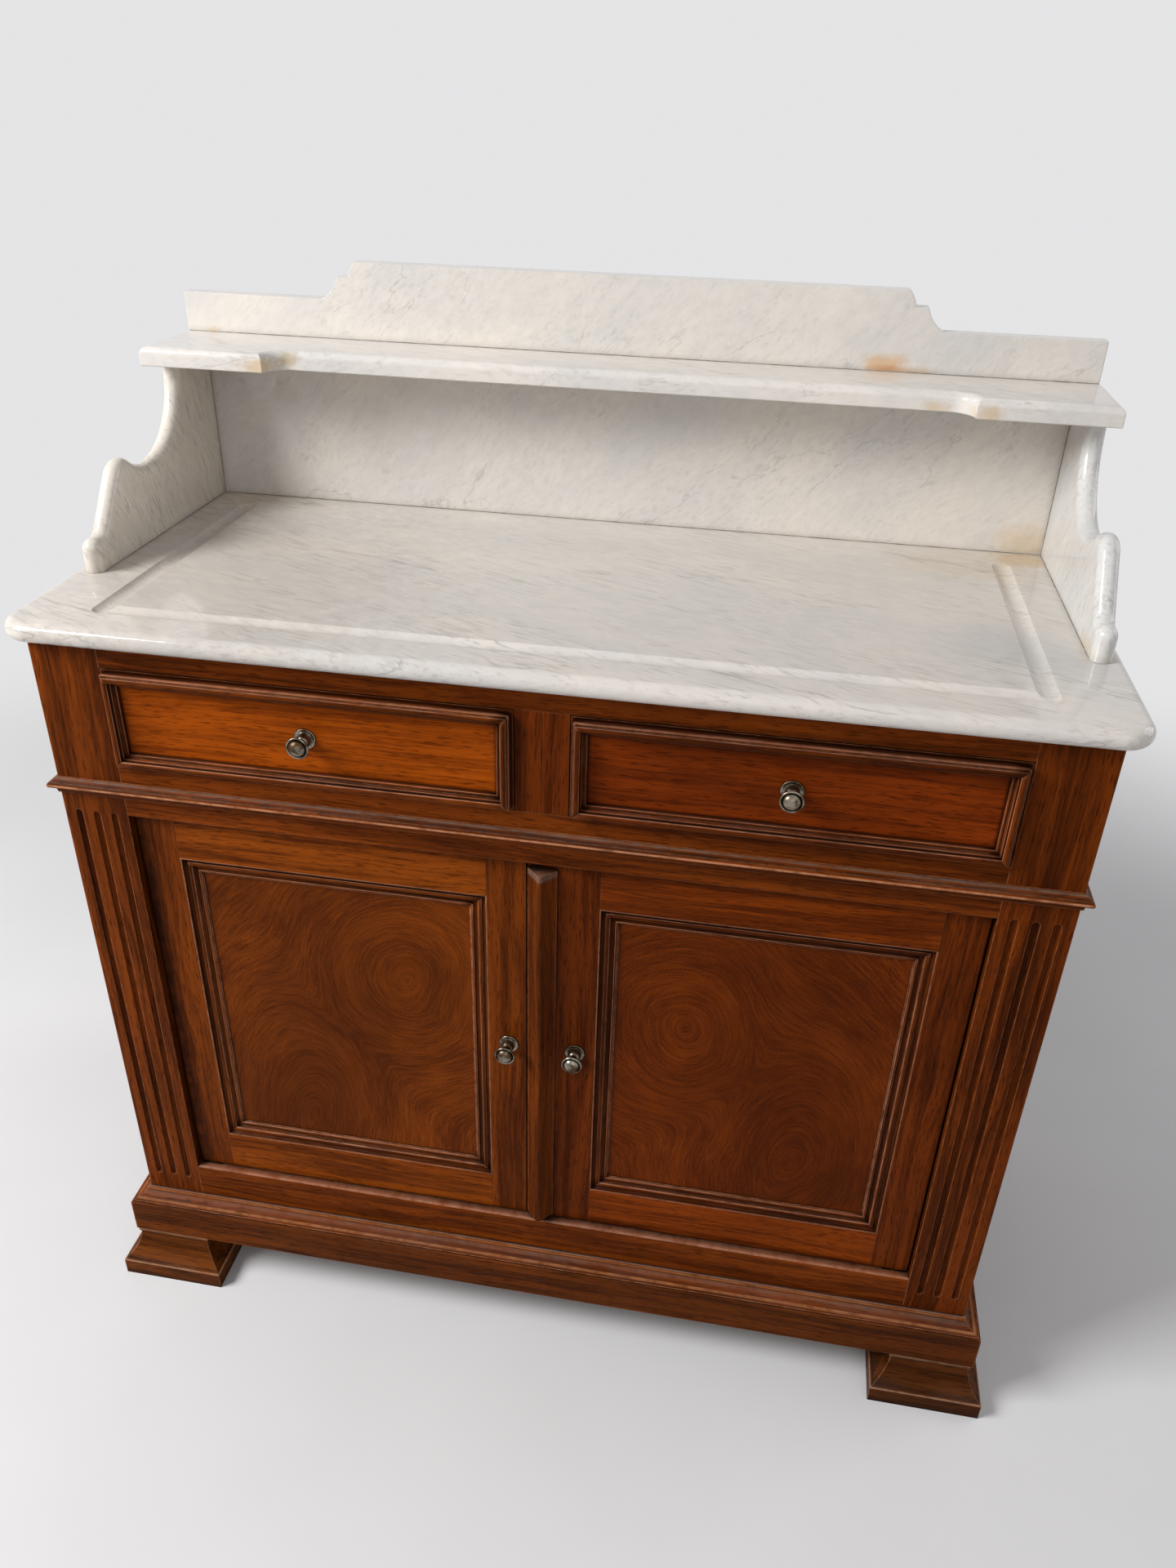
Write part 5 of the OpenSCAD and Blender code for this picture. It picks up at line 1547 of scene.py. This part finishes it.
@dataclass
class Carcass(SubAssembly):
    """Posts, rails, mouldings, plinth, feet and the inside of the cabinet."""

    def dress(self) -> Iterable[str]:
        """Coats the visible wood by its grain and the inside as bare wood.

        Returns:
            The name of each piece, for the log.
        """
        for finish, *names in (*self.frame(), *self.trim(), *self.sides(), *self.inside()):
            yield from self.coat(finish, *names)

    def frame(self) -> list[tuple]:
        """Lists the posts and rails.

        Returns:
            A finish and the names of its pieces in each row.
        """
        rail = PolishedWood("rail_wood", (0.0672, 0.01282, 0.00155), (0.181, 0.03648, 0.00295), wear=0.4)
        sill = Course(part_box("bottom_rail")[1].z - 0.8 * MM, 1.3 * MM, (0.42, 0.2, 0.12), 0.65)
        return [
            # lighter than the right post: partly its own tone, partly painted light from the left
            (PolishedWood("post_wood_left", (0.0588, 0.01139, 0.00139), (0.168, 0.0342, 0.00295), Grain.UPRIGHT,
                          (0.3, 0.1, 0.2), grime_and_shade_strength=0.35), "front_post_left"),
            (PolishedWood("post_wood", (0.0504, 0.009372, 0.00093), (0.143, 0.02715, 0.00198), Grain.UPRIGHT,
                          grime_and_shade_strength=0.35), "front_post_right", "rear_posts"),
            (rail, "top_rail", "mid_rail"),
            (replace(rail, name="sill_wood", shift=(0.7, 0.2, 0.4), courses=(sill,)), "bottom_rail"),
            (PolishedWood("divider_wood", (0.063, 0.01139, 0.00124), (0.143, 0.02584, 0.00217), Grain.UPRIGHT,
                          (0.9, 0.0, 0.3), wear=0.12), "drawer_divider")]

    def trim(self) -> list[tuple]:
        """Lists the mouldings, the plinth and the feet.

        Returns:
            A finish and the names of its pieces in each row.
        """
        # belt: a painted sheen on the top fillet, painted shade lines over and under the ridge, and a pale ridge of
        # wear with a painted highlight
        belt = courses_on("belt_moulding", (0.92, 0.05, (0.16, 0.12, 0.09), 0.65), (0.78, 0.09, SHADE_LINE, 0.8),
                          (0.58, 0.09, (0.55, 0.24, 0.12), 0.85), (0.38, 0.10, SHADE_LINE, 0.75))
        # base: a grey line at the crown, a painted sheen in the hollow, painted shade lines in its quirks and pale
        # lines of wear
        base = courses_on("base_moulding", (0.96, 0.08, (0.22, 0.17, 0.14), 0.6), (0.80, 0.07, (0.4, 0.16, 0.05), 0.6),
                          (0.67, 0.07, SHADE_LINE, 0.6), (0.55, 0.20, (0.19, 0.11, 0.08), 0.4),
                          (0.20, 0.05, (0.45, 0.18, 0.07), 0.6), (0.02, 0.07, SHADE_LINE, 0.8))
        plinth = PolishedWood("plinth_wood", (0.0462, 0.01068, 0.00155), (0.126, 0.02888, 0.00295),
                              shift=(0.4, 0.0, 0.3))
        foot = PolishedWood("foot_wood", (0.0504, 0.01282, 0.00217), (0.134, 0.0342, 0.00434), shift=(0.1, 0.4, 0.7),
                            wear=0.95, worn_and_highlight=(0.36, 0.17, 0.085), courses=(
                                Course(64.5 * MM, 2.2 * MM, (0.26, 0.16, 0.1), 0.6),
                                # painted shade line in the quirk above the bottom slab
                                Course(25.5 * MM, 1.2 * MM, SHADE_LINE, 0.75),
                                Course(22.6 * MM, 1.3 * MM, (0.4, 0.22, 0.13), 0.8)))
        shaded_foot = replace(foot, name="foot_wood_dim", dark=(0.036, 0.0096, 0.002), light=(0.094, 0.026, 0.0045))
        return [
            (PolishedWood("belt_wood", (0.06, 0.01157, 0.0016), (0.16, 0.03325, 0.003), wear=0.9, courses=belt),
             "belt_moulding"),
            (PolishedWood("base_wood", (0.068, 0.01424, 0.003), (0.17, 0.038, 0.006), wear=0.95, courses=base),
             "base_moulding"),
            (plinth, "plinth_front"),
            (replace(plinth, name="plinth_side_wood", grain=Grain.DEEP, shift=(0.0, 0.0, 0.0)), "plinth_returns"),
            (foot, "front_foot_left", "rear_foot_left", "rear_foot_right"),
            (shaded_foot, "front_foot_right")]

    def sides(self) -> list[tuple]:
        """Lists the framed panels of the two side walls.

        Returns:
            A finish and the names of its pieces in each row.
        """
        return [
            (PolishedWood("side_rail_wood", (0.0588, 0.0121, 0.00155), (0.151, 0.03192, 0.00279), Grain.DEEP),
             "side_rails"),
            (PolishedWood("side_panel_wood", (0.0672, 0.01353, 0.00155), (0.168, 0.03496, 0.0031), Grain.UPRIGHT,
                          (0.2, 0.6, 0.0), fineness=0.8), "side_panels")]

    def inside(self) -> list[tuple]:
        """Lists the pieces of the inside and the back.

        Returns:
            A finish and the names of its pieces in each row.
        """
        return [
            (PlainWood("bare_wood_across"), "back_rails", "drawer_runners", "cupboard_floor", "cupboard_shelf",
             "battens", "drawer_guides", "glue_blocks"),
            (PlainWood("bare_wood_upright", Grain.UPRIGHT), "back_boards"),
            (pivot_brass(), "pivot_pins")]


def pivot_brass() -> AgedMetal:
    """Returns the finish of the door pivots."""
    return AgedMetal("pivot_brass_plain", bright=(0.42, 0.33, 0.18), dull=(0.2, 0.15, 0.08))


@dataclass
class Opening(SubAssembly):
    """A drawer or a door, with a knob and a moulding round its field."""

    kind: ClassVar[str]
    section: ClassVar[Profile]

    side: str
    trim: PolishedWood

    def named(self, part: str) -> str:
        """Returns the full name of one of its parts."""
        return f"{self.side}_{self.kind}_{part}"

    def knob(self) -> Iterable[str]:
        """Coats the knob and its rose, and turns the finer knob.

        Returns:
            The name of each piece, for the log.
        """
        brass = AgedMetal("knob_brass")
        yield from self.coat(brass, self.named("knob"), self.named("rose"))
        yield TurnedKnob(self.named("pull"), f"{self.side}_{self.kind}", self.named("knob"), brass).make().name

    def moulding(self) -> Iterable[str]:
        """Sweeps the moulding."""
        frame = FrameMoulding(self.named("frame"), f"{self.side}_{self.kind}", self.named("moulding"),
                              self.section, self.trim)
        yield frame.make().name


@dataclass
class Drawer(Opening):
    """A drawer: its front, moulding, box and knob."""

    kind = "drawer"
    section = DrawerSection()

    field: PolishedWood

    def dress(self) -> Iterable[str]:
        """Coats the drawer, turns its knob and sweeps the moulding round its front.

        Returns:
            The name of each piece, for the log.
        """
        low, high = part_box(self.named("moulding"))
        edge = self.section.width * MM
        # the front round its moulding is darkened: painted shade
        window = (low.x + edge, high.x - edge, low.z + edge, high.z - edge)
        yield from self.coat(replace(self.field, window=window), self.named("front"))
        yield from self.coat(PlainWood("bare_wood_deep", Grain.DEEP), self.named("box"))
        yield from self.coat(PlainWood("bare_wood_across"), self.named("bottom"))
        yield from self.knob()
        yield from self.moulding()


@dataclass
class Door(Opening):
    """A panelled door with its moulding, knob and bushes."""

    kind = "door"
    section = PanelSection()

    stile: PolishedWood
    rail: PolishedWood
    panel: FiguredVeneer

    def dress(self) -> Iterable[str]:
        """Coats the door, turns its knob and sweeps the moulding round its panel.

        Returns:
            The name of each piece, for the log.
        """
        yield from self.coat(self.stile, self.named("stiles"))
        yield from self.coat(self.rail, self.named("rails"))
        yield from self.coat(self.panel, self.named("panel"))
        yield from self.knob()
        yield from self.coat(pivot_brass(), self.named("bushes"))
        yield from self.moulding()


@dataclass
class LappedDoor(Door):
    """The door that opens first, with the astragal that laps over the other."""

    def dress(self) -> Iterable[str]:
        """Dresses the door and coats the astragal, which is rubbed at its top.

        Returns:
            The name of each piece, for the log.
        """
        yield from super().dress()
        rubbed = Course(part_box("astragal")[1].z - 2 * MM, 7 * MM, (0.2, 0.14, 0.105), 0.55)
        wood = PolishedWood("astragal_wood", (0.0504, 0.01068, 0.00155), (0.143, 0.0304, 0.00341), Grain.UPRIGHT,
                            wear=0.9, worn_and_highlight=(0.33, 0.14, 0.06), courses=(rubbed,))
        yield from self.coat(wood, "astragal")


@dataclass(frozen=True)
class Lamp:
    """A soft square lamp."""

    name: str
    at: Point
    aim: Point
    size: float
    power: float

    def hang(self) -> None:
        """Adds the lamp to the scene."""
        light = bpy.data.lights.new(self.name, "AREA")
        light.size = self.size
        light.energy = self.power
        lamp = bpy.data.objects.new(self.name, light)
        lamp.location = self.at
        lamp.rotation_euler = (Vector(self.aim) - Vector(self.at)).to_track_quat("-Z", "Y").to_euler()
        bpy.context.scene.collection.objects.link(lamp)


@dataclass
class Studio:
    """Floor, lamps, world and camera."""

    floor_size: float = 30.0
    glow: Colour = (0.26, 0.26, 0.27)
    eye: Point = (0.19214, -1.145305, 1.338347)
    turn: Point = (-0.528084, -0.0291014, 0.155992)
    focal: float = 1459.355 / 1920.0
    sensor: float = 36.0
    lamps: tuple[Lamp, ...] = (
        Lamp("key_light", (-2.3, -1.3, 2.5), (0.0, 0.0, 0.7), 1.3, 114.0),
        Lamp("fill_light", (0.9, -2.6, 2.4), (0.0, 0.0, 0.5), 2.6, 13.0),
        Lamp("side_light", (2.5, 0.8, 1.8), (0.6, 0.0, 0.2), 1.6, 16.0))

    def build(self) -> None:
        """Makes the stage, the light and the camera."""
        self.floor()
        self.world()
        for lamp in self.lamps:
            lamp.hang()
        self.camera()

    def floor(self) -> None:
        """Lays a wide pale floor."""
        half = self.floor_size / 2
        mesh = bpy.data.meshes.new("studio_floor")
        mesh.from_pydata([(-half, -half, 0), (half, -half, 0), (half, half, 0), (-half, half, 0)], [], [(0, 1, 2, 3)])
        mesh.materials.append(Backcloth("studio_white").material())
        floor = linked("studio_floor", mesh)

    def world(self) -> None:
        """Lights the room evenly and shows the camera a plain pale wall."""
        world = bpy.data.worlds.new("studio")
        bpy.context.scene.world = world
        world.use_nodes = True
        wires = Wiring(world.node_tree)
        colour = wires.mix(seen_directly(wires), self.glow, Backcloth.wall)
        shine = wires.first("ShaderNodeBackground", {"Color": colour, "Strength": 1.0})
        wires.add("ShaderNodeOutputWorld", {"Surface": shine})

    def camera(self) -> None:
        """Sets the camera where the picture was taken from."""
        tilt, roll, yaw = self.turn
        way = Matrix.Rotation(yaw, 3, "Z") @ Matrix.Rotation(tilt, 3, "X") @ Matrix.Rotation(roll, 3, "Y")
        right, forward, up = way.col
        pose = Matrix((right, up, -forward)).transposed().to_4x4()
        pose.translation = Vector(self.eye)
        lens = bpy.data.cameras.new("view")
        lens.sensor_fit = "VERTICAL"
        lens.sensor_height = self.sensor
        lens.lens = self.sensor * self.focal
        lens.clip_end = 200.0
        eye = bpy.data.objects.new("view", lens)
        eye.matrix_world = pose
        bpy.context.scene.collection.objects.link(eye)
        bpy.context.scene.camera = eye


def left_side() -> tuple[SubAssembly, SubAssembly]:
    """Chooses the woods of the left side, which are lighter: partly their own tone, partly painted light from the left.

    Returns:
        The left drawer and the left door.
    """
    trim = PolishedWood("frame_wood_left", (0.0546, 0.01139, 0.00139), (0.151, 0.03192, 0.00279),
                        shift=(0.5, 0.0, 0.1), wear=0.8, worn_and_highlight=(0.5, 0.22, 0.12), shaped=True)
    front = PolishedWood("left_drawer_wood", (0.15, 0.02403, 0.0012), (0.35, 0.0665, 0.0022),
                         shift=(0.2, 0.5, 0.1), contrast=0.75, patina=0.45)
    # painted shadow of the left post on the stile beside it
    post_shadow = Course(-0.434, 24 * MM, (0.012, 0.004, 0.002), 0.75, axis=0)
    stile = PolishedWood("left_stile_wood", (0.0672, 0.01282, 0.00155), (0.168, 0.03496, 0.00279), Grain.UPRIGHT,
                         (0.1, 0.3, 0.6), wear=0.12, courses=(post_shadow,))
    rail = PolishedWood("left_door_rail_wood", (0.101, 0.01922, 0.00155), (0.227, 0.04864, 0.00326),
                        shift=(0.3, 0.3, 0.5), wear=0.12)
    panel = FiguredVeneer("left_panel_veneer", (0.08, 0.01566, 0.0017), (0.2167, 0.04514, 0.00409), (
        Swirl((-0.159, 0.499), (1.0, 0.85), 0.12), Swirl((-0.284, 0.262), (1.0, 0.48), 0.42)))
    return Drawer("left drawer", "left", trim, front), Door("left door", "left", trim, stile, rail, panel)


def right_side() -> tuple[SubAssembly, SubAssembly]:
    """Chooses the woods of the right side, which are darker: partly their own tone, partly painted shade away from the
    light.

    Returns:
        The right drawer and the right door.
    """
    trim = PolishedWood("frame_wood_right", (0.0462, 0.008704, 0.00093), (0.126, 0.02429, 0.00198),
                        wear=0.8, worn_and_highlight=(0.42, 0.18, 0.1), shaped=True)
    front = PolishedWood("right_drawer_wood", (0.08, 0.01175, 0.001), (0.215, 0.03325, 0.0022),
                         shift=(0.35, 0.1, 0.9), contrast=0.75, patina=0.45)
    stile = PolishedWood("right_stile_wood", (0.0546, 0.009372, 0.00093), (0.139, 0.02572, 0.00198), Grain.UPRIGHT,
                         (0.7, 0.3, 0.2), wear=0.12)
    rail = PolishedWood("right_door_rail_wood", (0.08543, 0.01407, 0.001112), (0.209, 0.03794, 0.002232),
                        shift=(0.8, 0.3, 0.5), wear=0.12)
    panel = FiguredVeneer("right_panel_veneer", (0.07354, 0.01244, 0.001118), (0.1903, 0.03487, 0.002693), (
        Swirl((0.145, 0.488), (1.0, 0.85)), Swirl((0.270, 0.310), (1.0, 0.5), 0.3)))
    return Drawer("right drawer", "right", trim, front), LappedDoor("right door", "right", trim, stile, rail, panel)


def sub_assemblies() -> list[SubAssembly]:
    """Returns the washstand's sub-assemblies in the order they are dressed."""
    (left_drawer, left_door), (right_drawer, right_door) = left_side(), right_side()
    return [MarbleGallery("marble gallery"), Carcass("carcass"), left_drawer, right_drawer, left_door, right_door]


def main() -> None:
    """Loads the frame, dresses each sub-assembly and sets up the studio."""
    logging.basicConfig(level=logging.INFO, format="%(name)s: %(message)s")
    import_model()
    scene = bpy.context.scene
    scene.view_settings.view_transform = "Standard"
    for part in sub_assemblies():
        for name in part.dress():
            LOG.info("%s: %s", part.title, name)
    Studio().build()


if __name__ == "__main__":
    main()
